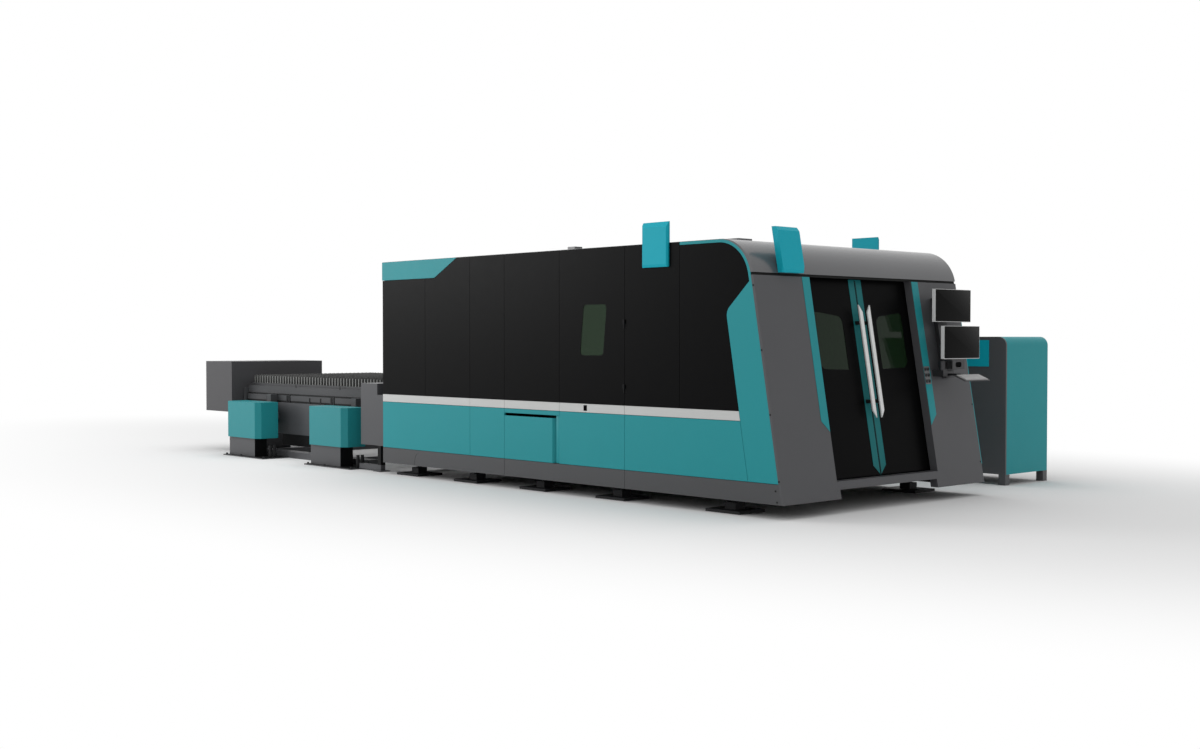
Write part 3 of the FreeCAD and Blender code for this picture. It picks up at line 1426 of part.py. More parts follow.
def build_signs():
    """Blank sign boxes on the roof edges and the blank plate of the source cabinet."""
    sign = prism("side_sign", "YZ_Plane", [
        ("-sign_proud + sign_toe_deep", "sign_low"),
        ("0", "sign_low"),
        ("0", "body_top"),
        ("sign_hook", "body_top"),
        ("sign_hook", "sign_high"),
        ("-sign_proud + sign_slope_deep", "sign_high"),
        ("-sign_proud", "sign_high - sign_slope"),
        ("-sign_proud", "sign_low + sign_toe"),
    ], "-sign_rear", "-sign_front")
    bevel_sides(sign, (0, -1, 0), "sign_bevel")
    foot_x = front("sign_end_low")
    lean = "tan(sign_end_lean) * (sign_end_high - sign_end_low)"
    face_x = f"({foot_x} + sign_end_depth)"
    end_sign = prism("end_sign", "XZ_Plane", [
        (foot_x, "sign_end_low"),
        (f"{face_x} - sign_toe_deep", "sign_end_low"),
        (f"{face_x} - tan(sign_end_lean) * sign_toe", "sign_end_low + sign_toe"),
        (f"{face_x} - {lean} + tan(sign_end_lean) * sign_end_slope", "sign_end_high - sign_end_slope"),
        (f"{face_x} - {lean} - sign_end_slope_deep", "sign_end_high"),
        (f"{foot_x} - {lean}", "sign_end_high"),
    ], "sign_end_near", "sign_end_far")
    bevel_sides(end_sign, (1, 0, 0), "sign_bevel")
    foot_y = ("sign_end_near + sign_foot_inset", "sign_end_far - sign_foot_inset")
    lug = block("sign_lug", (f"{foot_x} - sign_foot_inset", foot_x), foot_y,
                ("sign_end_low", "sign_foot_high"))
    hood_room = prism("hood_room", "XZ_Plane", [
        (front("pillar_top"), "pillar_top"),
        (front("body_top"), "body_top"),
        ("-seam_front", "body_top"),
        ("-seam_front", "pillar_top"),
    ], "0", "body_width", {"roof_radius": [1]})
    foot = less("sign_foot", less("sign_foot_free", lug, hood_room), end_sign)
    clear_sign = less("end_sign_seated", end_sign, hood_room)
    plate = block("source_sign", ("-source_sign_end - source_sign_width", "-source_sign_end"),
                  ("source_near - sign_plate", "source_near"),
                  ("source_sign_low", "source_sign_low + source_sign_height"))
    far_sign = moved(across(sign), "sign_far_shift", "0", "0")
    node("blank_signs", [sign, far_sign, clear_sign, foot, plate])


def tray_spot(along, up):
    """A place on the tilted keyboard tray: along it from its hinge and up from its middle."""
    return (f"tray_hinge + ({along}) * cos(tray_tilt) + ({up}) * sin(tray_tilt)",
            f"tray_back - ({along}) * sin(tray_tilt) + ({up}) * cos(tray_tilt)")


def tilted(name, along, up, y):
    """A slab that lies with the keyboard tray."""
    points = [tray_spot(along[0], up[0]), tray_spot(along[1], up[0]),
              tray_spot(along[1], up[1]), tray_spot(along[0], up[1])]
    return prism(name, "XZ_Plane", points, y[0], y[1])


def screen(name, face, level):
    """A monitor with two bored ears behind it."""
    x_face = f"(-{face})"
    back = f"({x_face} - screen_depth)"
    axis = f"({back} - screen_pin_back)"
    case = block(name + "_case", (back, x_face),
                 ("screen_centre - screen_width / 2", "screen_centre + screen_width / 2"),
                 (f"{level} - screen_height / 2", f"{level} + screen_height / 2"))
    ears = []
    for i, y in enumerate(("(screen_centre - knuckle_half - fit_gap - ear_thick)",
                           "(screen_centre + knuckle_half + fit_gap)")):
        lug = block(f"{name}_lug_{i}", (f"{axis} - ear_half", back), (y, f"{y} + ear_thick"),
                    (f"{level} - ear_half", f"{level} + ear_half"))
        bore = rod(f"{name}_bore_{i}", "y", (axis, y, level), "screen_pin + pin_clearance", "ear_thick")
        ears.append(less(f"{name}_ear_{i}", lug, bore))
    node(name, [case] + ears)


def screen_arm(name, face, level):
    """The console post's arm that carries a monitor on a cross pin."""
    axis = f"(-{face} - screen_depth - screen_pin_back)"
    start = f"({front(level)} + post_clear + post_thick / 2)"
    arm = block(name + "_bar", (start, f"{axis} + arm_reach"),
                ("screen_centre - knuckle_half", "screen_centre + knuckle_half"),
                (f"{level} - arm_half", f"{level} + arm_half"))
    half = "(knuckle_half + fit_gap + ear_thick)"
    pin = rod(name + "_pin", "y", (axis, f"screen_centre - {half}", level), "screen_pin", f"2 * {half}")
    return [arm, pin]


def build_console():
    """The control console: bracket, swivelling post, two monitors, and a folding keyboard tray."""
    middle_z = "((swivel_low + swivel_high) / 2)"
    bracket = prism("console_lug", "XZ_Plane", [
        (front("(swivel_low - lift_tube)"), "swivel_low - lift_tube"),
        ("-swivel_x + swivel_radius", "swivel_low - lift_tube"),
        ("-swivel_x + swivel_radius", "swivel_low - fit_gap"),
        (front("(swivel_low - fit_gap)"), "swivel_low - fit_gap"),
    ], "swivel_y - swivel_radius", "swivel_y + swivel_radius")
    pin = rod("swivel_pin_rod", "z", ("-swivel_x", "swivel_y", "swivel_low - lift_tube"), "swivel_pin",
              "lift_tube + swivel_high - swivel_low")
    node("console_bracket", [joined("console_mount", [bracket, pin])])

    post = leaning("console_upright", ("-(post_clear + post_thick)", "-post_clear"),
                   ("post_near", "post_far"), ("post_low", "post_high"))
    hub = rod("swivel_hub", "z", ("-swivel_x", "swivel_y", "swivel_low"), "swivel_radius",
              "swivel_high - swivel_low")
    yoke_back = "(yoke_face + yoke_thick)"
    yoke = block("console_yoke", (f"-{yoke_back}", "-yoke_face"), ("swivel_y", "post_far"),
                 ("swivel_low", "swivel_high"))
    plate_y = ("(swivel_y + plate_inset)", "(post_far - plate_inset)")
    plate_x = ("(-plate_face - plate_thin)", "(-plate_face)")
    plate_z = ("(swivel_low + plate_rise)", "(swivel_high + plate_rise)")
    plate = prism("console_plate", "YZ_Plane", rectangle(plate_y, plate_z), *plate_x)
    webs = [block(f"console_web_{i}", ("-yoke_face", plate_x[0]), (low, f"{low} + plate_web"), plate_z)
            for i, low in enumerate((plate_y[0], f"({plate_y[1]} - plate_web)"))]
    hole_y = (f"{plate_y[0]} + plate_hole", f"{plate_y[1]} - plate_hole")
    hole_z = (f"{middle_z} + plate_rise - plate_hole / 2", f"{middle_z} + plate_rise + plate_hole / 2")
    plate = cut_through("console_plate_cut", plate, "YZ_Plane", rectangle(hole_y, hole_z),
                        ("-rail_front", "0"), {"plate_hole / 2 - gauge": [0, 1, 2, 3]})
    gusset = block("console_gusset",
                   (f"{front('swivel_low')} + post_clear + post_thick / 2", f"-{yoke_back}"),
                   ("post_far - post_thick", "post_far"), ("swivel_low", "swivel_high"))
    tray_arm = block("tray_arm", (f"{front('post_low')} + post_clear + post_thick / 2", "tray_hinge"),
                     ("tray_arm_near", "tray_arm_far"),
                     ("tray_back - tray_knuckle", "tray_back + tray_knuckle"))
    tray_end = rod("tray_arm_end", "y", ("tray_hinge", "tray_arm_near", "tray_back"), "tray_knuckle",
                   "tray_arm_far - tray_arm_near")
    tray_pin = rod("tray_hinge_pin", "y", ("tray_hinge", "tray_arm_near - tray_ear", "tray_back"), "tray_pin",
                   "tray_arm_far - tray_arm_near + 2 * tray_ear")
    solid = joined("console_weld", [post, hub, yoke, plate, gusset, tray_arm, tray_end, tray_pin] + webs
                   + screen_arm("upper_arm", "upper_face", "upper_screen")
                   + screen_arm("lower_arm", "lower_face", "lower_screen"))
    bore = rod("swivel_bore", "z", ("-swivel_x", "swivel_y", "swivel_low"), "swivel_pin + pin_clearance",
               "swivel_high - swivel_low")
    node("console_post", [less("console_body", solid, bore)])
    screen("upper_monitor", "upper_face", "upper_screen")
    screen("lower_monitor", "lower_face", "lower_screen")

    half = "(tray_thick / 2)"
    board = tilted("tray_board", ("tray_start", "tray_length"), (f"-{half}", half), ("tray_near", "tray_far"))
    pieces = [board]
    bores = []
    for i, y in enumerate((("tray_arm_near - tray_ear", "tray_arm_near - fit_gap"),
                           ("tray_arm_far + fit_gap", "tray_arm_far + tray_ear"))):
        long = f"({y[1]}) - ({y[0]})"
        place = ("tray_hinge", y[0], "tray_back")
        pieces.append(rod(f"tray_knuckle_{i}", "y", place, "tray_knuckle", long))
        pieces.append(tilted(f"tray_lug_{i}", ("0", "tray_start"), (f"-{half}", half), y))
        bores.append(rod(f"tray_bore_{i}", "y", place, "tray_pin + pin_clearance", long))
    node("keyboard_tray", [less("tray_body", joined("tray_weld", pieces), joined("tray_bores", bores))])
    keys = tilted("keyboard_case", ("keys_back", "keys_front"), (half, f"{half} + keys_thick"),
                  ("keys_near", "keys_far"))
    node("keyboard", [keys])


# ---------------------------------------------------------------- build, check and write
trims = build_long_sides()
build_base()
build_enclosure_frame()
build_roof_and_rear()
build_door_end(trims)
build_sliding_doors()
build_service_door()
build_drawer()
build_feet()
build_gantry()
build_bases()
build_table_frame()
build_lift()
build_pallets()
build_cabinets()
build_signs()
build_console()
doc.recompute()

for item in doc.Objects:
    if "Invalid" in item.State or "Error" in item.State:
        raise RuntimeError(f"{item.Name}: {item.State}")
for item in NODES:
    if item.Shape.isNull() or not item.Shape.isValid() or not item.Shape.Solids:
        raise RuntimeError(f"{item.Label}: no valid solid")
os.makedirs("parts", exist_ok=True)
for item in NODES:
    item.Shape.exportStep(f"parts/{item.Label}.step")
print(len(NODES), "nodes written")
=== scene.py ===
"""Fiber laser cutting machine: the looks of the enclosed cutter, its exchange table and cabinets.

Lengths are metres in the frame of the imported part, z up from the floor. Places that belong to the
machine are given from the foot of its door end (x falls towards the exchange table) and from its
long near side (y grows towards the far side), and Layout turns them into the part's frame.
"""

import logging
import math
from dataclasses import dataclass
from enum import Enum, unique

import bmesh
import bpy
from mathutils import Euler, Matrix, Vector

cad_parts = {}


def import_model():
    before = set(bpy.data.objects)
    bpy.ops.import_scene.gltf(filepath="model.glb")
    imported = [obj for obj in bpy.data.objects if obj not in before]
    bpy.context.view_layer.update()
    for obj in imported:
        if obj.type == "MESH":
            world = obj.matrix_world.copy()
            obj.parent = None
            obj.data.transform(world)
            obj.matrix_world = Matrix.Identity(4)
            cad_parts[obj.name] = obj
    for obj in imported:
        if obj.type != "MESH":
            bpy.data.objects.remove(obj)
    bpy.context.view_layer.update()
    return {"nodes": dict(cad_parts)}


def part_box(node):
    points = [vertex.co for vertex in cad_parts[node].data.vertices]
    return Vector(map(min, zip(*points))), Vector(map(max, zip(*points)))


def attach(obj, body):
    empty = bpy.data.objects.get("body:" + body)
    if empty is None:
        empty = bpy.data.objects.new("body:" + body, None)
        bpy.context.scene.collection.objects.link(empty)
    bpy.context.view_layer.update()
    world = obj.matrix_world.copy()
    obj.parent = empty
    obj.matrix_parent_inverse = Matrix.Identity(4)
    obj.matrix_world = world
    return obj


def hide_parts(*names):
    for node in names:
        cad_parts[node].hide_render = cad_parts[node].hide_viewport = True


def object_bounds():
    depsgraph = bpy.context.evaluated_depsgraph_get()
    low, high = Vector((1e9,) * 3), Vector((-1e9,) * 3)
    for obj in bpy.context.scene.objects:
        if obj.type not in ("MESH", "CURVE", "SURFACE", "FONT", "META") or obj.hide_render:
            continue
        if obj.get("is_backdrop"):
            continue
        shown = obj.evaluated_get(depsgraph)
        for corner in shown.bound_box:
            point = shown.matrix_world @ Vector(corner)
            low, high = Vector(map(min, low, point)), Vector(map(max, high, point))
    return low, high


log = logging.getLogger("laser_cutting_machine")
Colour = tuple[float, float, float]
Span = tuple[float, float]
Socket = bpy.types.NodeSocket
Groups = dict[str, bpy.types.NodeTree]
GREY: Colour = (0.5, 0.5, 0.5)
WHITE = (1.0, 1.0, 1.0, 1.0)
LEVEL_MARGIN = 1e-6
SHARP_ANGLE = math.radians(35)


# ---------------------------------------------------------------- layout
@dataclass(frozen=True)
class Layout:
    """Where the machine's own corner lies in the part's frame, and how its door end leans."""

    door_foot: float
    near_side: float
    width: float = 3.0
    lean: float = 10.0
    foot_height: float = 0.125

    @classmethod
    def from_frame(cls) -> "Layout":
        """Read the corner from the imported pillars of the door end."""
        low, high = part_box("front_surround")
        return cls(door_foot=high.x, near_side=low.y)

    def at(self, x: float, y: float, z: float) -> Vector:
        """Turn a place, from the door end's foot, the near side and the floor, into the part's frame."""
        return Vector((self.door_foot + x, self.near_side + y, z))

    def leaning(self, back: float, y: float, z: float) -> Vector:
        """Find the place that lies a level distance behind the leaning front of the door end."""
        return self.at(-back - (z - self.foot_height) * math.tan(math.radians(self.lean)), y, z)

    def front_normal(self) -> Vector:
        """Find the direction that the leaning front faces."""
        turn = math.radians(self.lean)
        return Vector((math.cos(turn), 0, math.sin(turn)))


# ---------------------------------------------------------------- shader parts
class Shader:
    """A node tree with short ways to add and join its nodes."""

    def __init__(self, tree: bpy.types.NodeTree) -> None:
        """Start on an empty tree."""
        self.tree = tree
        tree.nodes.clear()

    def fill(self, place: Socket, value: object) -> None:
        """Link an output to an input, or set the input's value.

        Args:
            place: The input.
            value: The output or the value.
        """
        if isinstance(value, Socket):
            self.tree.links.new(value, place)
        else:
            place.default_value = value

    def add(self, kind: str, *terms: object, **values: object) -> bpy.types.Node:
        """Add a node and fill its inputs, each with a value or with the output to link.

        Args:
            kind: Blender's name of the node's type.
            *terms: What its first inputs take, in order.
            **values: Its properties by name, or what its inputs take by name, with underscores for spaces.

        Returns:
            The new node.
        """
        made = self.tree.nodes.new(kind)
        for name, value in values.items():
            if hasattr(made, name):
                setattr(made, name, value)
            else:
                self.fill(made.inputs[name.replace("_", " ")], value)
        for place, term in zip(made.inputs, terms):
            self.fill(place, term)
        return made

    def math(self, operation: str, *terms: Socket | float) -> Socket:
        """Work out one value from others."""
        return self.add("ShaderNodeMath", *terms, operation=operation).outputs["Value"]

    def noise(self, place: Socket, **values: Socket | float) -> Socket:
        """Read a noise pattern at a place."""
        return self.add("ShaderNodeTexNoise", Vector=place, **values).outputs["Fac"]

    def blend(self, share: Socket, first: Socket, second: Socket) -> Socket:
        """Mix a share of the second surface or background into the first."""
        return self.add("ShaderNodeMixShader", share, first, second).outputs["Shader"]


def new_group(name: str, inputs: dict[str, float | Colour]) -> tuple[Shader, bpy.types.bpy_prop_collection]:
    """Start a shader node group with Colour, Roughness and Height outputs.

    Args:
        name: The group's name.
        inputs: Starting value of each input; a tuple makes a colour socket.

    Returns:
        The group's tree and the values that come in.
    """
    tree = bpy.data.node_groups.new(name, "ShaderNodeTree")
    shader = Shader(tree)
    for label, value in inputs.items():
        is_colour = isinstance(value, tuple)
        socket = tree.interface.new_socket(
            label, in_out="INPUT", socket_type="NodeSocketColor" if is_colour else "NodeSocketFloat")
        socket.default_value = (*value, 1.0) if is_colour else value
    for label, kind in (("Colour", "NodeSocketColor"), ("Roughness", "NodeSocketFloat"), ("Height", "NodeSocketFloat")):
        tree.interface.new_socket(label, in_out="OUTPUT", socket_type=kind)
    return shader, shader.add("NodeGroupInput").outputs


def spread_tone(shader: Shader, entry: bpy.types.bpy_prop_collection, change: Socket) -> Socket:
    """Make a group's colour lighter and darker within its tone spread, by a change around 0."""
    scale = shader.math("MULTIPLY_ADD", change, entry["Tone Spread"], 1.0)
    return shader.add("ShaderNodeVectorMath", entry["Colour"], operation="SCALE", Scale=scale).outputs["Vector"]


def build_coat_group() -> bpy.types.NodeTree:
    """Build the powder coat effect: cloudy tone, a fine orange peel and uneven gloss.

    Returns:
        The group, whose outputs are the colour, roughness and height of the coat.
    """
    shader, entry = new_group(
        "powder_coat",
        {"Colour": GREY, "Tone Spread": 0.05, "Roughness": 0.4, "Gloss Spread": 0.08, "Peel Scale": 260.0})
    place = shader.add("ShaderNodeTexCoord").outputs["Object"]
    cloud = shader.noise(place, Scale=1.7, Detail=3.0, Roughness=0.55)
    peel = shader.noise(place, Scale=entry["Peel Scale"], Detail=1.0, Roughness=0.4)
    smear = shader.noise(place, Scale=9.0, Detail=4.0, Roughness=0.6)
    tone = spread_tone(shader, entry, shader.math("SUBTRACT", cloud, 0.5))
    gloss = shader.math("MULTIPLY_ADD", shader.math("SUBTRACT", smear, 0.5), entry["Gloss Spread"], entry["Roughness"])
    shader.add("NodeGroupOutput", Colour=tone, Roughness=gloss, Height=peel)
    return shader.tree


def build_metal_group() -> bpy.types.NodeTree:
    """Build the bare metal effect: fine lines along one direction and soft stains.

    Returns:
        The group, whose outputs are the colour, roughness and height of the metal.
    """
    shader, entry = new_group(
        "worked_metal",
        {"Colour": GREY, "Tone Spread": 0.2, "Roughness": 0.35, "Line X": 2.0, "Line Y": 300.0, "Line Z": 300.0})
    place = shader.add("ShaderNodeTexCoord").outputs["Object"]
    stretch = shader.add("ShaderNodeCombineXYZ", *(entry[f"Line {axis}"] for axis in "XYZ")).outputs["Vector"]
    scaled = shader.add("ShaderNodeVectorMath", place, stretch, operation="MULTIPLY").outputs["Vector"]
    lines = shader.noise(scaled, Scale=1.0, Detail=3.0, Roughness=0.6)
    stains = shader.noise(place, Scale=6.0, Detail=5.0, Roughness=0.6)
    change = shader.math("SUBTRACT", shader.math("ADD", lines, stains), 1.0)
    rough = shader.math("MULTIPLY_ADD", change, 0.25, entry["Roughness"])
    shader.add("NodeGroupOutput", Colour=spread_tone(shader, entry, change), Roughness=rough, Height=lines)
    return shader.tree


def start_material(name: str) -> tuple[bpy.types.Material, Shader]:
    """Make a material with an empty node tree.

    Args:
        name: The material's name.

    Returns:
        The material and its shader tree.
    """
    material = bpy.data.materials.new(name)
    material.use_nodes = True
    return material, Shader(material.node_tree)


def build_material(name: str, look: "CoatedSheet | WorkedMetal | TintedWindow", group: bpy.types.NodeTree,
                   depth: float, light: dict[str, float], **values: float) -> bpy.types.Material:
    """Build a material whose colour, roughness and relief come from a shared effect.

    Args:
        name: The material's name.
        look: The finish, which gives the colour, roughness and tone spread.
        group: The effect.
        depth: Depth of the relief in metres; none where it is 0.
        light: The Principled BSDF's own inputs, with underscores for spaces.
        **values: The effect's further inputs, written the same way.

    Returns:
        The material.
    """
    material, shader = start_material(name)
    effect = shader.add("ShaderNodeGroup", node_tree=group, Colour=(*look.colour, 1.0), Roughness=look.roughness,
                        Tone_Spread=look.tone_spread, **values).outputs
    surface = shader.add("ShaderNodeBsdfPrincipled", Base_Color=effect["Colour"], Roughness=effect["Roughness"],
                         **light)
    if depth > 0:
        bump = shader.add("ShaderNodeBump", Strength=0.5, Distance=depth, Height=effect["Height"])
        shader.fill(surface.inputs["Normal"], bump.outputs["Normal"])
    shader.add("ShaderNodeOutputMaterial", Surface=surface.outputs["BSDF"])
    return material


# ---------------------------------------------------------------- finishes
@dataclass(frozen=True)
class CoatedSheet:
    """A powder-coated or moulded surface."""

    colour: Colour
    roughness: float = 0.42
    specular: float = 0.4
    clear_coat: float = 0.0
    coat_roughness: float = 0.12
    tone_spread: float = 0.06
    gloss_spread: float = 0.1
    peel_scale: float = 260.0
    peel_depth: float = 0.0004

    def build(self, name: str, groups: Groups) -> bpy.types.Material:
        """Build the coat's material from the shared effects."""
        light = {"Specular_IOR_Level": self.specular, "Coat_Weight": self.clear_coat,
                 "Coat_Roughness": self.coat_roughness}
        return build_material(name, self, groups["powder_coat"], self.peel_depth, light, Gloss_Spread=self.gloss_spread,
                              Peel_Scale=self.peel_scale)


@dataclass(frozen=True)
class WorkedMetal:
    """Bare metal with the lines that its tool left."""

    colour: Colour
    roughness: float = 0.35
    metallic: float = 1.0
    tone_spread: float = 0.25
    lines: tuple[float, float, float] = (2.0, 300.0, 300.0)
    depth: float = 0.0002

    def build(self, name: str, groups: Groups) -> bpy.types.Material:
        """Build the metal's material from the shared effects."""
        scales = {f"Line_{axis}": scale for axis, scale in zip("XYZ", self.lines)}
        return build_material(name, self, groups["worked_metal"], self.depth, {"Metallic": self.metallic}, **scales)


@dataclass(frozen=True)
class TintedWindow:
    """Laser safety glass with a coloured body."""

    colour: Colour
    roughness: float = 0.06
    transmission: float = 0.6
    bending: float = 1.25
    specular: float = 0.15
    tone_spread: float = 0.12
    gloss_spread: float = 0.02

    def build(self, name: str, groups: Groups) -> bpy.types.Material:
        """Build the glass's material from the shared effects."""
        light = {"Transmission_Weight": self.transmission, "IOR": self.bending, "Specular_IOR_Level": self.specular}
        return build_material(name, self, groups["powder_coat"], 0.0, light, Gloss_Spread=self.gloss_spread)


@unique
class Finish(Enum):
    """Every finish on the machine; its material has the same name in small letters."""

    BLACK_PANEL = CoatedSheet((0.001, 0.001, 0.0012), roughness=0.34, specular=0.045, peel_depth=0.0001)
    BLACK_DOOR = CoatedSheet((0.0026, 0.0026, 0.0028), roughness=0.36, specular=0.024)
    GREY_PAINT = CoatedSheet((0.092, 0.093, 0.099), roughness=0.38, specular=0.22)
    GREY_SKIRT = CoatedSheet((0.077, 0.078, 0.082), roughness=0.4, specular=0.25)
    GREY_ROOF = CoatedSheet((0.082, 0.083, 0.089), roughness=0.26, specular=0.6, clear_coat=0.2, gloss_spread=0.02,
                            peel_depth=0.00002)
    GREY_CABINET = CoatedSheet((0.07, 0.069, 0.073), roughness=0.45, specular=0.22)
    TEAL_PAINT = CoatedSheet((0.018, 0.298, 0.33), roughness=0.42, specular=0.17)
    # The teal paint made darker as painted shade, for the column covers.
    TEAL_COLUMN = CoatedSheet((0.017, 0.26, 0.285), roughness=0.42, specular=0.25)
    # The teal paint made darker still as painted shade under the hood, for the doors' meeting strips.
    TEAL_STRIP = CoatedSheet((0.011, 0.17, 0.18), roughness=0.42, specular=0.1)
    TEAL_SIGN = CoatedSheet((0.008, 0.43, 0.54), roughness=0.4, specular=0.12)
    LIGHT_STRIPE = CoatedSheet((0.605, 0.61, 0.6), roughness=0.35)
    HANDLE_COAT = CoatedSheet((0.84, 0.84, 0.835), roughness=0.28, clear_coat=0.3)
    BUTTON_PANEL = CoatedSheet((0.2, 0.2, 0.205), roughness=0.4)
    FRAME_PAINT = CoatedSheet((0.007, 0.007, 0.0075), roughness=0.5, specular=0.1)
    TABLE_PAINT = CoatedSheet((0.08, 0.081, 0.085), roughness=0.45, specular=0.15)
    FOOT_COAT = CoatedSheet((0.016, 0.016, 0.018), roughness=0.48, specular=0.15, peel_depth=0.0008)
    CABINET_FACE = CoatedSheet((0.095, 0.095, 0.1), roughness=0.4, specular=0.3)
    MONITOR_CASE = CoatedSheet((0.78, 0.78, 0.78), roughness=0.4, peel_scale=900.0)
    SCREEN_GLASS = CoatedSheet((0.006, 0.006, 0.006), roughness=0.2, specular=0.045, gloss_spread=0.03,
                               peel_depth=0.00002)
    KEYCAP = CoatedSheet((0.5, 0.5, 0.5), roughness=0.5, peel_scale=1200.0)
    DARK_PLASTIC = CoatedSheet((0.014, 0.014, 0.015), roughness=0.45, specular=0.15, peel_scale=900.0)
    BUTTON_PLASTIC = CoatedSheet((0.03, 0.03, 0.032), roughness=0.3, peel_scale=900.0)
    RUBBER = CoatedSheet((0.008, 0.008, 0.008), roughness=0.65, specular=0.15)
    TINTED_WINDOW = TintedWindow((0.05, 0.095, 0.05))
    DOOR_WINDOW = TintedWindow((0.018, 0.045, 0.018), specular=0.05)
    BARE_STEEL = WorkedMetal((0.45, 0.45, 0.46))
    SLAT_STEEL = WorkedMetal((0.13, 0.13, 0.128), roughness=0.5, metallic=0.4, tone_spread=0.5,
                             lines=(40.0, 40.0, 40.0))
    SLAT_TAB = WorkedMetal((0.19, 0.19, 0.183), roughness=0.5, metallic=0.2)
    DARK_METAL = WorkedMetal((0.05, 0.05, 0.053), roughness=0.42, metallic=0.7)
    ALUMINIUM_BEAM = WorkedMetal((0.55, 0.56, 0.58), roughness=0.4, lines=(200.0, 2.0, 200.0))
    HEAD_METAL = WorkedMetal((0.5, 0.51, 0.53), roughness=0.25, lines=(300.0, 300.0, 3.0))


class FinishShop:
    """Builds each finish once and puts it on objects."""

    def __init__(self) -> None:
        """Build the shared effects and every finish."""
        groups = {"powder_coat": build_coat_group(), "worked_metal": build_metal_group()}
        self.materials = {finish: finish.value.build(finish.name.lower(), groups) for finish in Finish}

    def dress(self, piece: bpy.types.Object, finish: Finish) -> None:
        """Give an object one finish all over."""
        piece.data.materials.clear()
        piece.data.materials.append(self.materials[finish])


# ---------------------------------------------------------------- mesh work
class Shape:
    """A piece while it is shaped from bmesh operators."""

    def __init__(self, name: str, shop: FinishShop, layout: Layout) -> None:
        """Start an empty mesh for the piece."""
        self.name, self.shop, self.layout = name, shop, layout
        self.mesh = bmesh.new()

    def bevel(self, geom: list, width: float, segments: int = 2, affect: str = "EDGES") -> dict[str, list]:
        """Round edges or corners to a radius and return what that made."""
        return bmesh.ops.bevel(self.mesh, geom=geom, offset=width, offset_type="OFFSET", segments=segments,
                               profile=0.5, affect=affect, material=-1)

    def block(self, low: Vector, high: Vector, rounding: float, segments: int = 2) -> None:
        """Add a box with rounded edges.

        Args:
            low: The lowest corner.
            high: The highest corner.
            rounding: Radius on every edge.
            segments: Faces across each rounded edge.
        """
        corners = bmesh.ops.create_cube(self.mesh, size=1.0)["verts"]
        bmesh.ops.scale(self.mesh, vec=high - low, verts=corners)
        bmesh.ops.translate(self.mesh, vec=(low + high) / 2, verts=corners)
        self.bevel(list({edge for corner in corners for edge in corner.link_edges}), rounding, segments)

    def rod(self, start: Vector, end: Vector, radius: float, sides: int, rounding: float) -> None:
        """Add a round rod between two points.

        Args:
            start: The middle of the first end.
            end: The middle of the other end.
            radius: The rod's radius.
            sides: Number of faces around it.
            rounding: Radius on the rims.
        """
        axis = end - start
        corners = bmesh.ops.create_cone(self.mesh, cap_ends=True, segments=sides, radius1=radius, radius2=radius,
                                        depth=axis.length)["verts"]
        rims = [edge for edge in {e for v in corners for e in v.link_edges}
                if abs(edge.verts[0].co.z - edge.verts[1].co.z) < LEVEL_MARGIN]
        bevelled = self.bevel(rims, rounding)
        corners = list({v for face in bevelled["faces"] for v in face.verts} | {v for v in corners if v.is_valid})
        turn = Vector((0, 0, 1)).rotation_difference(axis.normalized()).to_matrix().to_4x4()
        bmesh.ops.transform(self.mesh, matrix=Matrix.Translation((start + end) / 2) @ turn, verts=corners)

    def sheet(self, outline: list[Vector], thickness: Vector, rounding: float = 0.0, edge: float = 0.0) -> None:
        """Add a flat plate from its outline.

        Args:
            outline: The corners, in order.
            thickness: The direction and depth in which it is extruded.
            rounding: Radius of the outline's corners.
            edge: Width of the small bevel around both faces.
        """
        corners = [self.mesh.verts.new(corner) for corner in outline]
        face = self.mesh.faces.new(corners)
        if rounding > 0:
            made = self.bevel(corners, rounding, segments=6, affect="VERTICES")
            face = next(f for f in {f for v in made["verts"] for f in v.link_faces} if len(f.verts) > 4)
        grown = bmesh.ops.extrude_face_region(self.mesh, geom=[face], use_keep_orig=True)["geom"]
        moved = [item for item in grown if isinstance(item, bmesh.types.BMVert)]
        bmesh.ops.translate(self.mesh, vec=thickness, verts=moved)
        if edge > 0:
            tops = [item for item in grown if isinstance(item, bmesh.types.BMFace)] + [face]
            self.bevel(list({e for f in tops for e in f.edges}), edge)

    def pair(self, run: Span, across: Span, up: Span, rounding: float, segments: int = 1) -> None:
        """Add a box on the near long side and its mirror image on the far one.

        Args:
            run: Where it starts and ends along the machine.
            across: Where it starts and ends from its own long side.
            up: Its lower and upper level.
            rounding: Radius on every edge.
            segments: Faces across each rounded edge.
        """
        width = self.layout.width
        for start, end in (across, (width - across[1], width - across[0])):
            self.block(self.layout.at(run[0], start, up[0]), self.layout.at(run[1], end, up[1]), rounding, segments)

    def upright(self, across: Span, up: Span, back: Span, edge: float) -> None:
        """Add a bar that leans with the front of the door end.

        Args:
            across: Where the bar starts and ends across the machine.
            up: Its lower and upper level.
            back: How far its front and its rear face lie behind the machine's front.
            edge: Width of the small bevel around its ends.
        """
        front, rear = back
        outline = [self.layout.leaning(depth, across[0], level)
                   for depth, level in ((rear, up[0]), (front, up[0]), (front, up[1]), (rear, up[1]))]
        self.sheet(outline, Vector((0, across[1] - across[0], 0)), edge=edge)

    def repeat(self, step: Vector, count: int) -> None:
        """Copy all of the mesh so far along a row.

        Args:
            step: The move from one copy to the next.
            count: How many there are in all.
        """
        first = list(self.mesh.verts) + list(self.mesh.edges) + list(self.mesh.faces)
        for number in range(1, count):
            copy = bmesh.ops.duplicate(self.mesh, geom=first)
            corners = [item for item in copy["geom"] if isinstance(item, bmesh.types.BMVert)]
            bmesh.ops.translate(self.mesh, vec=step * number, verts=corners)

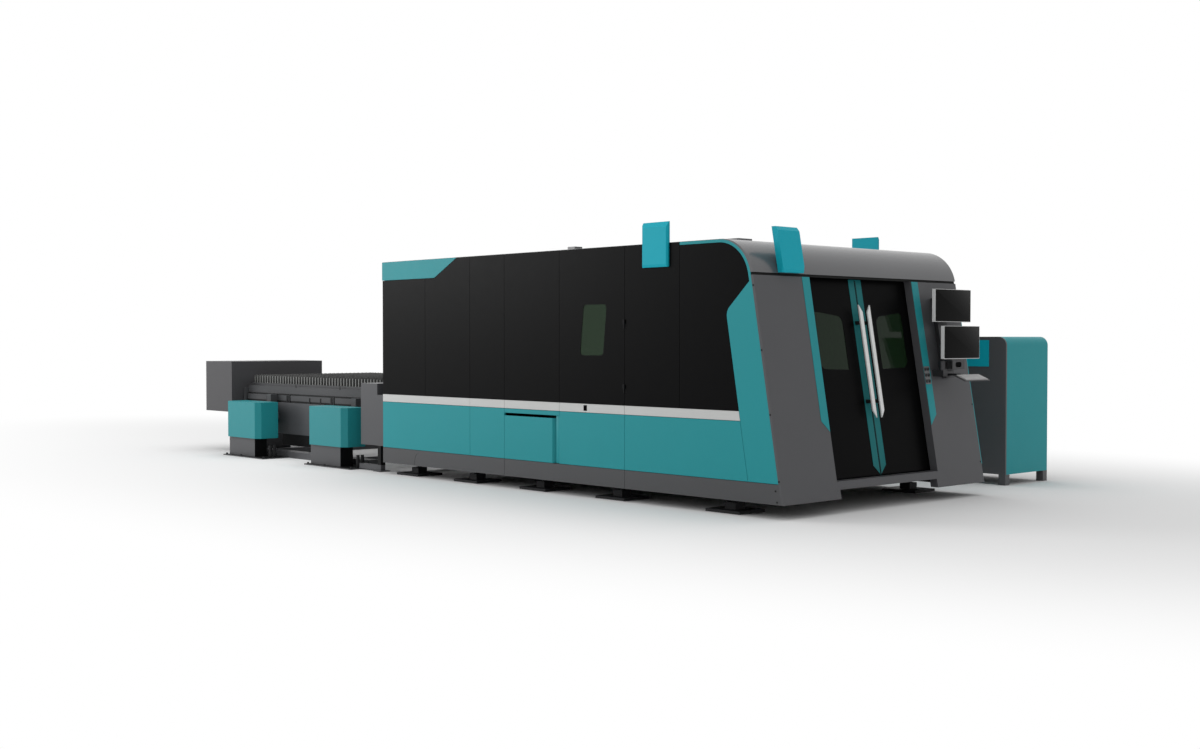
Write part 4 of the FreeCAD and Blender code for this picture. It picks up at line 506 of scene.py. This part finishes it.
    def finish(self, finish: Finish, body: str, slot: str, smooth: bool = True) -> bpy.types.Object:
        """Turn the mesh into an object, dress it and let it ride on a body.

        Args:
            finish: The piece's finish.
            body: The body that carries the piece.
            slot: The record's material slot; not used.
            smooth: Whether curved faces are shaded smooth.

        Returns:
            The finished object.
        """
        bmesh.ops.recalc_face_normals(self.mesh, faces=self.mesh.faces)
        data = bpy.data.meshes.new(self.name)
        self.mesh.to_mesh(data)
        self.mesh.free()
        if smooth:
            data.shade_smooth()
            data.set_sharp_from_angle(angle=SHARP_ANGLE)
        piece = bpy.data.objects.new(self.name, data)
        bpy.context.scene.collection.objects.link(piece)
        self.shop.dress(piece, finish)
        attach(piece, body)
        return piece


# ---------------------------------------------------------------- carried-over pieces
@dataclass
class CarriedPieces:
    """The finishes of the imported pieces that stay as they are."""

    shop: FinishShop

    def finishes(self) -> dict[Finish, str]:
        """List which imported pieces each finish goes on.

        Returns:
            For each finish, the names of its pieces with spaces between them.
        """
        buttons = " ".join(f"button_{number}" for number in range(1, 7))
        wheels = " ".join(f"{deck}_wheelset_{number}" for deck in ("outer", "inner") for number in (1, 2))
        return {
            Finish.BLACK_PANEL: "side_upper_panels service_door_upper",
            Finish.BLACK_DOOR: "near_door_panel far_door_panel",
            Finish.GREY_PAINT: "rear_wall front_surround table_bases table_frame",
            Finish.GREY_SKIRT: "base_skirts",
            Finish.GREY_ROOF: "front_hood roof_panel",
            Finish.GREY_CABINET: "end_cabinet",
            Finish.TEAL_PAINT: "side_trims side_lower_panels service_door_lower drawer_front cabinet_shell",
            # The column covers take the teal paint darkened as painted shade.
            Finish.TEAL_COLUMN: "column_covers",
            # The meeting strips take the teal paint darkened as painted shade under the hood.
            Finish.TEAL_STRIP: "near_door_edge far_door_edge",
            Finish.TEAL_SIGN: "blank_signs",
            Finish.LIGHT_STRIPE: "side_stripes service_door_stripe",
            Finish.HANDLE_COAT: "near_door_handle far_door_handle",
            Finish.FRAME_PAINT: "base_frame enclosure_frame service_door_frame drawer_tray",
            Finish.TABLE_PAINT: "lift_frame outer_pallet_frame inner_pallet_frame",
            Finish.FOOT_COAT: "levelling_feet",
            Finish.CABINET_FACE: "cabinet_case",
            Finish.DARK_METAL: "console_bracket console_post keyboard_tray",
            Finish.MONITOR_CASE: "upper_monitor lower_monitor",
            Finish.KEYCAP: "keyboard",
            Finish.DARK_PLASTIC: "service_door_pull",
            Finish.BUTTON_PLASTIC: buttons,
            Finish.TINTED_WINDOW: "service_door_window",
            Finish.DOOR_WINDOW: "near_door_window far_door_window",
            Finish.SLAT_STEEL: "outer_pallet_slats inner_pallet_slats",
            Finish.BARE_STEEL: f"gantry_rails {wheels}",
            Finish.ALUMINIUM_BEAM: "gantry_beam",
            Finish.HEAD_METAL: "y_carriage cutting_head",
        }

    def dress(self, nodes: dict[str, bpy.types.Object]) -> int:
        """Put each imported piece's finish on it.

        Args:
            nodes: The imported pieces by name.

        Returns:
            How many pieces were dressed.
        """
        dressed = set()
        for finish, names in self.finishes().items():
            for name in names.split():
                self.shop.dress(nodes[name], finish)
                dressed.add(name)
        missing = set(nodes) - dressed
        if missing:
            raise ValueError(f"no finish for {sorted(missing)}")
        return len(dressed)


# ---------------------------------------------------------------- finer pieces
@dataclass
class Maker:
    """A builder of finer pieces, with the finishes and the machine's places at hand."""

    shop: FinishShop
    layout: Layout

    def shape(self, name: str) -> Shape:
        """Start a piece."""
        return Shape(name, self.shop, self.layout)


@dataclass
class SlatRows(Maker):
    """The toothed steel slats that carry the sheet, one row for each pallet."""

    teeth: int = 28
    pitch: float = 0.066
    gauge: float = 0.004
    tooth_height: float = 0.026
    tip: float = 0.012
    root: float = 0.010
    tab_width: float = 0.018
    tab_proud: float = 0.003
    tab_rounding: float = 0.0005

    def outline(self, low: Vector, high: Vector) -> list[Vector]:
        """Draw one slat: a straight foot and a toothed top edge.

        Args:
            low: The lowest corner of the row.
            high: The highest corner of the row.

        Returns:
            The slat's corners in order.
        """
        step = (high.y - low.y) / self.teeth
        base = high.z - self.tooth_height
        points = [(high.y, low.z), (low.y, low.z)]
        for number in range(self.teeth):
            start = low.y + number * step
            middle = start + step / 2
            points += [(start, base), (middle - self.tip / 2, high.z), (middle + self.tip / 2, high.z),
                       (start + step - self.root, base)]
        return [Vector((low.x, y, z)) for y, z in [*points, (high.y, base)]]

    def build(self) -> int:
        """Build both rows.

        Returns:
            How many slats there are in a row.
        """
        count = 0
        for deck in ("outer", "inner"):
            node = f"{deck}_pallet_slats"
            low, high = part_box(node)
            count = round((high.x - low.x - self.gauge) / self.pitch) + 1
            row = self.shape(f"{deck}_toothed_slats")
            row.sheet(self.outline(low, high), Vector((self.gauge, 0, 0)))
            row.repeat(Vector((self.pitch, 0, 0)), count)
            piece = row.finish(Finish.SLAT_STEEL, f"{deck}_pallet", "dark_metal", smooth=False)
            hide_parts(node)
            self.build_tabs(deck, low, high, count)
        return count

    def build_tabs(self, deck: str, low: Vector, high: Vector, count: int) -> None:
        """Stand the end tabs in front of the slats' ends.

        Args:
            deck: Which pallet they belong to.
            low: The lowest corner of its slats.
            high: The highest corner of its slats.
            count: How many slats there are.
        """
        tabs = self.shape(f"{deck}_slat_tabs")
        top = high.z - self.tooth_height / 2
        for start, end in ((low.y - self.tab_proud, low.y), (high.y, high.y + self.tab_proud)):
            tabs.block(Vector((low.x, start, low.z)), Vector((low.x + self.tab_width, end, top)), self.tab_rounding, 1)
        tabs.repeat(Vector((self.pitch, 0, 0)), count)
        tabs.finish(Finish.SLAT_TAB, f"{deck}_pallet", "bare_steel", smooth=False)


@dataclass
class Monitors(Maker):
    """The dark screens set in both monitor cases, with the camera dots of their bezels."""

    side_bezel: float = 0.0035
    top_bezel: float = 0.0035
    bottom_bezel: float = 0.005
    proud: float = 0.0012
    dot_radius: float = 0.004
    dot_drop: float = 0.014
    corner: float = 0.006
    edge: float = 0.0004

    def build(self) -> int:
        """Build both screens.

        Returns:
            How many monitors were fitted.
        """
        for name in ("upper", "lower"):
            low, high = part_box(f"{name}_monitor")
            face = high.x
            left, right = low.y + self.side_bezel, high.y - self.side_bezel
            bottom, top = low.z + self.bottom_bezel, high.z - self.top_bezel
            glass = self.shape(f"{name}_screen_glass")
            glass.sheet([Vector((face, y, z)) for y, z in ((left, bottom), (right, bottom), (right, top), (left, top))],
                        Vector((self.proud, 0, 0)), rounding=self.corner, edge=self.edge)
            glass.finish(Finish.SCREEN_GLASS, f"{name}_screen", "dark_plastic")
            middle = Vector((face + self.proud, (low.y + high.y) / 2, high.z - self.dot_drop))
            dot = self.shape(f"{name}_camera_dot")
            dot.rod(middle, middle + Vector((self.proud, 0, 0)), self.dot_radius, sides=16, rounding=self.edge)
            dot.finish(Finish.RUBBER, f"{name}_screen", "dark_plastic")
        return 2


@dataclass
class KeyboardKeys(Maker):
    """The keycaps of the tilted keyboard."""

    rows: int = 5
    columns: int = 17
    tilt: float = 22.0
    margin: float = 0.006
    gap: float = 0.0025
    cap_height: float = 0.004
    rounding: float = 0.001
    case_thick: float = 0.008

    def build(self) -> int:
        """Build the keycaps as one grid on the keyboard's upper face.

        Returns:
            How many keycaps there are.
        """
        low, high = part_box("keyboard")
        turn = math.radians(self.tilt)
        shift = self.case_thick * math.sin(turn)
        run = (high.x - low.x - shift) / math.cos(turn)
        width = (high.y - low.y - 2 * self.margin) / self.columns
        depth = (run - 2 * self.margin) / self.rows
        keys = self.shape("keyboard_keys")
        keys.block(Vector((0, 0, 0)), Vector((depth - self.gap, width - self.gap, self.cap_height)), self.rounding, 1)
        keys.repeat(Vector((0, width, 0)), self.columns)
        keys.repeat(Vector((depth, 0, 0)), self.rows)
        place = (Matrix.Translation((low.x + shift, low.y + self.margin, high.z)) @ Matrix.Rotation(turn, 4, "Y")
                 @ Matrix.Translation((self.margin, 0, 0)))
        bmesh.ops.transform(keys.mesh, matrix=place, verts=keys.mesh.verts)
        keys.finish(Finish.KEYCAP, "tray", "dark_plastic")
        return self.rows * self.columns


@dataclass
class PushButtons(Maker):
    """The bezels of the push buttons and the light sheet between them."""

    count: int = 6
    ring_radius: float = 0.0155
    ring_thick: float = 0.0015
    ring_sides: int = 8
    ring_steps: int = 32
    proud: float = 0.010
    hole: float = 0.0165
    sheet: float = 0.0012
    least_strip: float = 0.001
    panel_back: float = -0.006
    panel_across: Span = (2.261, 2.344)
    panel_up: Span = (1.086, 1.250)

    def build(self) -> int:
        """Put a ring around every button.

        Returns:
            How many rings were built.
        """
        normal = self.layout.front_normal()
        tilt = Vector((0, 0, 1)).rotation_difference(normal).to_matrix().to_4x4()
        boxes = [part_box(f"button_{number}") for number in range(1, self.count + 1)]
        for number, (low, high) in enumerate(boxes, 1):
            face = Vector((high.x, (low.y + high.y) / 2, (low.z + high.z) / 2)) - normal * self.proud
            ring = self.shape(f"button_ring_{number}")
            spot = bmesh.ops.create_circle(ring.mesh, segments=self.ring_sides, radius=self.ring_thick)["verts"]
            bmesh.ops.rotate(ring.mesh, verts=spot, cent=(0, 0, 0), matrix=Matrix.Rotation(math.radians(90), 3, "X"))
            bmesh.ops.translate(ring.mesh, verts=spot, vec=(self.ring_radius, 0, 0))
            bmesh.ops.spin(ring.mesh, geom=list(ring.mesh.verts) + list(ring.mesh.edges), cent=(0, 0, 0),
                           axis=(0, 0, 1), steps=self.ring_steps, angle=math.tau, use_merge=True)
            bmesh.ops.transform(ring.mesh, matrix=Matrix.Translation(face) @ tilt, verts=ring.mesh.verts)
            ring.finish(Finish.BUTTON_PANEL, "machine", "dark_metal")
        self.build_panel(boxes)
        return self.count

    def build_panel(self, boxes: list[tuple[Vector, Vector]]) -> None:
        """Lay the light sheet in strips around the rows and columns of buttons.

        Args:
            boxes: The lowest and highest corner of each button.
        """
        columns = sorted({round((low.y + high.y) / 2 - self.layout.near_side, 4) for low, high in boxes})
        rows = sorted({round((low.z + high.z) / 2, 4) for low, high in boxes})
        strips, level = [], self.panel_up[0]
        for row in [*rows, self.panel_up[1] + self.hole]:
            strips.append((self.panel_across, (level, row - self.hole)))
            level = row + self.hole
        for row in rows:
            place = self.panel_across[0]
            for column in [*columns, self.panel_across[1] + self.hole]:
                strips.append(((place, column - self.hole), (row - self.hole, row + self.hole)))
                place = column + self.hole
        panel = self.shape("button_panel")
        for (left, right), (foot, top) in strips:
            if min(right - left, top - foot) > self.least_strip:
                panel.sheet([self.layout.leaning(self.panel_back, y, z)
                             for y, z in ((left, foot), (right, foot), (right, top), (left, top))],
                            self.layout.front_normal() * self.sheet)
        panel.finish(Finish.BUTTON_PANEL, "machine", "dark_metal", smooth=False)


@dataclass
class PanelScrews(Maker):
    """The small dark screws along the edges of the door end."""

    radius: float = 0.009
    height: float = 0.003
    rim: float = 0.001
    edge: float = 0.014
    levels: tuple[float, ...] = (1.963, 1.416, 0.875, 0.322)
    skirt_seats: tuple[Span, ...] = ((-0.085, 0.241), (-0.069, 0.148))

    def seats(self) -> list[tuple[Vector, Vector]]:
        """List the screws of the long side, the skirt's end and the leaning far edge.

        Returns:
            For each screw, the middle of its seat and the way it points.
        """
        aside, ahead = Vector((0, -1, 0)), self.layout.front_normal()
        far = self.layout.width - self.edge
        return [*((self.layout.leaning(self.edge, 0.0, level), aside) for level in self.levels),
                *((self.layout.at(x, 0.0, z), aside) for x, z in self.skirt_seats),
                *((self.layout.leaning(0.0, far, level), ahead) for level in self.levels)]

    def build(self) -> int:
        """Build the screws.

        Returns:
            How many screws there are.
        """
        screws = self.shape("door_end_screws")
        for seat, way in self.seats():
            screws.rod(seat, seat + way * self.height, self.radius, 16, self.rim)
        screws.finish(Finish.DARK_PLASTIC, "machine", "dark_metal")
        return len(self.seats())


@dataclass
class HandleSleeves(Maker):
    """The dark sleeves around the stand-offs of both door handles."""

    post: float = 0.030
    wall: float = 0.0015
    edge: float = 0.001
    levels: Span = (0.93, 1.64)
    back: Span = (0.0285, 0.0885)
    middles: tuple[tuple[str, float], ...] = (("near", 1.4405), ("far", 1.5595))

    def build(self) -> int:
        """Build the sleeves of both doors.

        Returns:
            How many sleeves there are.
        """
        reach = self.post / 2 + self.wall
        for door, middle in self.middles:
            sleeves = self.shape(f"{door}_handle_sleeves")
            for level in self.levels:
                sleeves.upright((middle - reach, middle + reach),
                                (level - self.wall, level + self.post + self.wall), self.back, self.edge)
            sleeves.finish(Finish.DARK_PLASTIC, f"{door}_door", "dark_plastic")
        return len(self.middles) * len(self.levels)


@dataclass
class SideDetails(Maker):
    """The teal jamb beside the drawer and the curved seam of the base skirt's rear end."""

    jamb_back: Span = (0.014, 0.018)
    jamb_up: Span = (0.301, 0.765)
    jamb_edge: float = 0.003
    jamb_rounding: float = 0.001
    seam_width: float = 0.004
    seam_proud: float = 0.0008
    seam_points: tuple[Span, ...] = ((-5.152, 0.269), (-5.184, 0.256), (-5.208, 0.232), (-5.224, 0.195),
                                     (-5.231, 0.163), (-5.233, 0.133))

    def build(self) -> int:
        """Build the jamb and both seams.

        Returns:
            How many pieces there are.
        """
        drawer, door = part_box("drawer_front")[1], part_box("service_door_lower")[0]
        side = self.layout.near_side
        jamb = self.shape("drawer_jamb")
        jamb.block(Vector((drawer.x + self.jamb_edge, side + self.jamb_back[0], self.jamb_up[0])),
                   Vector((door.x - self.jamb_edge, side + self.jamb_back[1], self.jamb_up[1])), self.jamb_rounding)
        jamb.finish(Finish.TEAL_PAINT, "machine", "teal_paint")
        seam = self.shape("skirt_seam")
        outline = [*self.seam_points, *((x - self.seam_width, z) for x, z in reversed(self.seam_points))]
        for side, way in ((0.0, -1), (self.layout.width, 1)):
            seam.sheet([self.layout.at(x, side, z) for x, z in outline], Vector((0, way * self.seam_proud, 0)))
        seam.finish(Finish.RUBBER, "machine", "dark_metal", smooth=False)
        return 2


@dataclass
class EdgeStrips(Maker):
    """The seal under the hood, the dark lines of the meeting strips and the far cheek's edge."""

    edge: float = 0.0002
    seal_back: Span = (0.012, 0.018)
    seal_up: Span = (2.053, 2.0745)
    seal_inset: float = 0.002
    seal_run: Span = (-0.415, -0.362)
    seal_side: Span = (0.006, 0.014)
    seal_rounding: float = 0.0005
    lines: tuple[tuple[str, Span], ...] = (("near", (1.490, 1.4965)), ("far", (1.5035, 1.510)))
    line_up: Span = (0.292, 2.045)
    line_back: Span = (0.0882, 0.0889)
    cheek_up: Span = (0.30, 1.93)
    cheek_back: Span = (0.0, 0.02)
    cheek_proud: float = 0.010

    def build(self) -> int:
        """Build every strip.

        Returns:
            How many strips there are.
        """
        width = self.layout.width
        seal = self.shape("hood_seal")
        seal.upright((self.seal_inset, width - self.seal_inset), self.seal_up, self.seal_back, self.edge)
        seal.pair(self.seal_run, self.seal_side, self.seal_up, self.seal_rounding)
        seal.finish(Finish.RUBBER, "machine", "black_paint", smooth=False)
        for door, across in self.lines:
            line = self.shape(f"{door}_meeting_line")
            line.upright(across, self.line_up, self.line_back, self.edge)
            line.finish(Finish.RUBBER, f"{door}_door", "black_paint", smooth=False)
        cheek = self.shape("far_cheek_edge")
        cheek.upright((width, width + self.cheek_proud), self.cheek_up, self.cheek_back, self.edge)
        cheek.finish(Finish.TEAL_PAINT, "machine", "teal_paint", smooth=False)
        return 2 + len(self.lines)


@dataclass
class TableFittings(Maker):
    """The dark fittings and lines on the exchange table's sides, bases and pallets, with dark sheets as painted shade
    on the pedestals' sides.
    """

    lift_face: float = 0.5
    pallet_face: float = 0.52
    sill_face: float = 0.482
    lift_run: Span = (-9.789, -6.452)
    line_proud: float = 0.0015
    line_levels: tuple[Span, ...] = ((0.784, 0.7945), (0.692, 0.714))
    end_width: float = 0.012
    end_up: Span = (0.714, 0.784)
    guides: tuple[Span, ...] = ((-8.755, 0.787), (-8.700, 0.794), (-7.703, 0.787), (-7.648, 0.794))
    guide_half: float = 0.018
    guide_foot: float = 0.665
    guide_proud: float = 0.007
    brackets: tuple[float, ...] = (-9.27, -9.02, -8.21, -7.953, -7.13)
    bracket_half: float = 0.011
    bracket_up: Span = (0.70, 0.765)
    bracket_proud: float = 0.006
    shelf: Span = (-0.045, 0.03)
    shelf_up: Span = (0.692, 0.704)
    marks: Span = (-8.575, -7.537)
    mark_up: Span = (0.884, 0.929)
    mark_proud: float = 0.003
    base_starts: Span = (-7.4254, -9.4254)
    base_top: float = 0.0125
    rim: float = 0.001
    bolt_sides: tuple[float, ...] = (-0.005, 0.305, 2.695, 3.005)
    bolt_steps: tuple[float, ...] = (0.0, 0.37, 0.94)
    bolt_radius: float = 0.0135
    bolt_height: float = 0.019
    stud_sides: tuple[float, ...] = (0.10, 0.16, 2.84, 2.90)
    stud_steps: tuple[float, ...] = (0.925,)
    stud_radius: float = 0.0197
    stud_height: float = 0.151
    foot_run: Span = (-0.034, 0.975)
    foot_across: Span = (-0.0394, 0.3394)
    foot_up: Span = (0.0122, 0.0132)
    foot_rounding: float = 0.0003
    # Thin dark sheets on the pedestals' sides that face the door end: painted shade, where those sides lie in shadow.
    pedestal_shade_run: Span = (0.65, 0.6515)
    pedestal_shade_across: Span = (0.037, 0.208)
    pedestal_shade_up: Span = (0.014, 0.243)
    pedestal_shade_rounding: float = 0.0004
    sill_run: Span = (-8.846, -7.264)
    sill_up: Span = (0.143, 0.285)
    leg_run: Span = (-6.092, -6.029)
    leg_across: Span = (0.0985, 0.1615)
    leg_up: Span = (0.0745, 0.2935)
    leg_rounding: float = 0.0015

    @staticmethod
    def plate(shape: Shape, run: Span, up: Span, proud: float, face: float) -> None:
        """Add a thin plate on a face of both long sides, proud of it and as far in from its side as given."""
        shape.pair(run, (face - proud, face), up, proud / 4)

    def build_lift(self) -> None:
        """Build the lines, guides, brackets and marks of the lift and the outer pallet."""
        lines = self.shape("lift_lines")
        for up in self.line_levels:
            self.plate(lines, self.lift_run, up, self.line_proud, self.lift_face)
        start = self.lift_run[0]
        self.plate(lines, (start, start + self.end_width), self.end_up, self.line_proud, self.lift_face)
        lines.finish(Finish.RUBBER, "lift", "black_paint", smooth=False)
        guides = self.shape("lift_guides")
        for place, top in self.guides:
            self.plate(guides, (place - self.guide_half, place + self.guide_half), (self.guide_foot, top),
                       self.guide_proud, self.lift_face)
        for place in self.brackets:
            self.plate(guides, (place - self.bracket_half, place + self.bracket_half), self.bracket_up,
                       self.bracket_proud, self.lift_face)
            self.plate(guides, (place + self.shelf[0], place + self.shelf[1]), self.shelf_up, self.guide_proud,
                       self.lift_face)
        guides.finish(Finish.DARK_PLASTIC, "lift", "dark_metal", smooth=False)
        marks = self.shape("pallet_marks")
        for place in self.marks:
            self.plate(marks, (place - self.bracket_half, place + self.bracket_half), self.mark_up, self.mark_proud,
                       self.pallet_face)
        marks.finish(Finish.DARK_PLASTIC, "outer_pallet", "dark_metal", smooth=False)

    def build_bolts(self) -> int:
        """Build the bolts and studs on the columns' bases.

        Returns:
            How many bolts and studs there are.
        """
        bolts = self.shape("base_bolts")
        count = 0
        for start in self.base_starts:
            for sides, steps, radius, height, faces in (
                    (self.bolt_sides, self.bolt_steps, self.bolt_radius, self.bolt_height, 6),
                    (self.stud_sides, self.stud_steps, self.stud_radius, self.stud_height, 20)):
                for foot in [self.layout.at(start + step, side, self.base_top) for side in sides for step in steps]:
                    bolts.rod(foot, foot + Vector((0, 0, height)), radius, faces, self.rim)
                    count += 1
        bolts.finish(Finish.DARK_PLASTIC, "machine", "dark_metal")
        return count

    def build(self) -> int:
        """Build all fittings.

        Returns:
            How many bolts and studs there are.
        """
        self.build_lift()
        count = self.build_bolts()
        # Over each base: a dark sheet on its foot plate, and a dark sheet as painted shade on its pedestal's side.
        covers = self.shape("base_covers")
        for start in self.base_starts:
            for run, across, up, rounding in (
                    (self.foot_run, self.foot_across, self.foot_up, self.foot_rounding),
                    (self.pedestal_shade_run, self.pedestal_shade_across, self.pedestal_shade_up, self.pedestal_shade_rounding)):
                covers.pair((start + run[0], start + run[1]), across, up, rounding)
        self.plate(covers, self.sill_run, self.sill_up, self.line_proud, self.sill_face)
        covers.pair(self.leg_run, self.leg_across, self.leg_up, self.leg_rounding, segments=2)
        covers.finish(Finish.FRAME_PAINT, "machine", "frame_paint", smooth=False)
        return count


# ---------------------------------------------------------------- stage
@dataclass(frozen=True)
class Lamp:
    """A soft square lamp; its level is how bright it makes white paper at its aim, 1 being white."""

    name: str
    place: tuple[float, float, float]
    aim: tuple[float, float, float]
    size: float
    level: float

    def hang(self) -> None:
        """Hang the lamp and turn it to its aim."""
        way = Vector(self.aim) - Vector(self.place)
        data = bpy.data.lights.new(self.name, "AREA")
        data.shape = "SQUARE"
        data.size = self.size
        data.energy = self.level * math.pi ** 2 * way.length_squared
        lamp = bpy.data.objects.new(self.name, data)
        lamp.location = self.place
        lamp.rotation_euler = way.to_track_quat("-Z", "Y").to_euler()
        bpy.context.scene.collection.objects.link(lamp)


@dataclass
class Studio:
    """Floor, soft light and the photograph's camera."""

    layout: Layout
    floor_half: float = 60.0
    floor_tone: float = 0.93
    floor_roughness: float = 0.9
    ambient: float = 0.55
    shade_reach: float = 1.2
    shade_fade: float = 1.7
    lamps: tuple[Lamp, ...] = (Lamp("near_side_lamp", (-15.0, -13.0, 7.0), (-3.0, -2.0, 1.0), 9.0, 0.42),
                               Lamp("top_lamp", (0.0, 0.0, 12.0), (0.0, 0.0, 0.0), 11.0, 0.38))
    camera_along: float = 7.740117
    camera_across: float = -9.208124
    camera_height: float = 1.498897
    camera_down: float = 1.36165
    camera_turn: float = 47.3032
    lens: float = 43.3331

    def build_floor(self) -> None:
        """Lay the pale floor, which turns into the white backdrop away from the machine."""
        mesh = bmesh.new()
        bmesh.ops.create_grid(mesh, x_segments=1, y_segments=1, size=self.floor_half)
        data = bpy.data.meshes.new("studio_floor")
        mesh.to_mesh(data)
        mesh.free()
        floor = bpy.data.objects.new("studio_floor", data)
        bpy.context.scene.collection.objects.link(floor)
        floor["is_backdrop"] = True
        material, shader = start_material("studio_floor")
        surface = shader.add("ShaderNodeBsdfPrincipled", Base_Color=(*(self.floor_tone,) * 3, 1.0),
                             Roughness=self.floor_roughness, Specular_IOR_Level=0.0).outputs["BSDF"]
        white = shader.add("ShaderNodeEmission", Color=WHITE, Strength=1.0).outputs["Emission"]
        shader.add("ShaderNodeOutputMaterial", Surface=shader.blend(self.fade(shader), surface, white))
        data.materials.append(material)

    @staticmethod
    def seen_rays(shader: Shader) -> Socket:
        """Pick out the rays that show the backdrop: seen directly, mirrored or through glass.

        Args:
            shader: The tree to add to.

        Returns:
            An output that is 1 for those rays and 0 for the light's own.
        """
        rays = shader.add("ShaderNodeLightPath").outputs
        direct = shader.math("MAXIMUM", rays["Is Camera Ray"], rays["Is Glossy Ray"])
        return shader.math("MAXIMUM", direct, rays["Is Transmission Ray"])

    def fade(self, shader: Shader) -> Socket:
        """Find how far the floor has turned into the backdrop, where it is seen.

        Args:
            shader: The floor's shader tree.

        Returns:
            An output that grows from 0 near the machine to 1.
        """
        low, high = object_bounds()
        half = ((high[0] - low[0]) / 2, (high[1] - low[1]) / 2, 1.0)
        place = shader.add("ShaderNodeTexCoord").outputs["Object"]
        shrunk = shader.add("ShaderNodeVectorMath", place, half, operation="DIVIDE").outputs["Vector"]
        reach = shader.add("ShaderNodeVectorMath", shrunk, operation="LENGTH").outputs["Value"]
        fade = shader.add("ShaderNodeMapRange", interpolation_type="SMOOTHSTEP", Value=reach,
                          From_Min=self.shade_reach, From_Max=self.shade_reach + self.shade_fade)
        return shader.math("MULTIPLY", fade.outputs["Result"], self.seen_rays(shader))

    def build_world(self) -> None:
        """Light the scene evenly and show white behind it."""
        world = bpy.data.worlds.new("studio")
        bpy.context.scene.world = world
        world.use_nodes = True
        shader = Shader(world.node_tree)
        light = shader.add("ShaderNodeBackground", Color=WHITE, Strength=self.ambient).outputs["Background"]
        white = shader.add("ShaderNodeBackground", Color=WHITE, Strength=1.0).outputs["Background"]
        shader.add("ShaderNodeOutputWorld", Surface=shader.blend(self.seen_rays(shader), light, white))

    def build_camera(self) -> None:
        """Set up the camera where the photograph was taken from."""
        data = bpy.data.cameras.new("camera")
        data.lens = self.lens
        data.sensor_width = 36.0
        data.clip_end = 200.0
        camera = bpy.data.objects.new("camera", data)
        camera.location = self.layout.at(self.camera_along, self.camera_across, self.camera_height)
        camera.rotation_euler = Euler((math.radians(90 - self.camera_down), 0.0, math.radians(self.camera_turn)))
        bpy.context.scene.collection.objects.link(camera)
        bpy.context.scene.camera = camera

    def build(self) -> None:
        """Build the whole studio."""
        self.build_floor()
        self.build_world()
        for lamp in self.lamps:
            lamp.hang()
        self.build_camera()
        bpy.context.scene.view_settings.view_transform = "Standard"


def main() -> None:
    """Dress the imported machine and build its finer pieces."""
    logging.basicConfig(level=logging.INFO, format="%(message)s")
    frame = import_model()
    layout = Layout.from_frame()
    shop = FinishShop()
    log.info("carried-over pieces: %d", CarriedPieces(shop).dress(frame["nodes"]))
    for label, maker in (("slats in a row", SlatRows), ("monitors", Monitors), ("keycaps", KeyboardKeys),
                         ("button rings", PushButtons), ("screws", PanelScrews), ("handle sleeves", HandleSleeves),
                         ("side details", SideDetails), ("edge strips", EdgeStrips),
                         ("bolts and studs", TableFittings)):
        log.info("%s: %d", label, maker(shop, layout).build())
    Studio(layout).build()


if __name__ == "__main__":
    main()
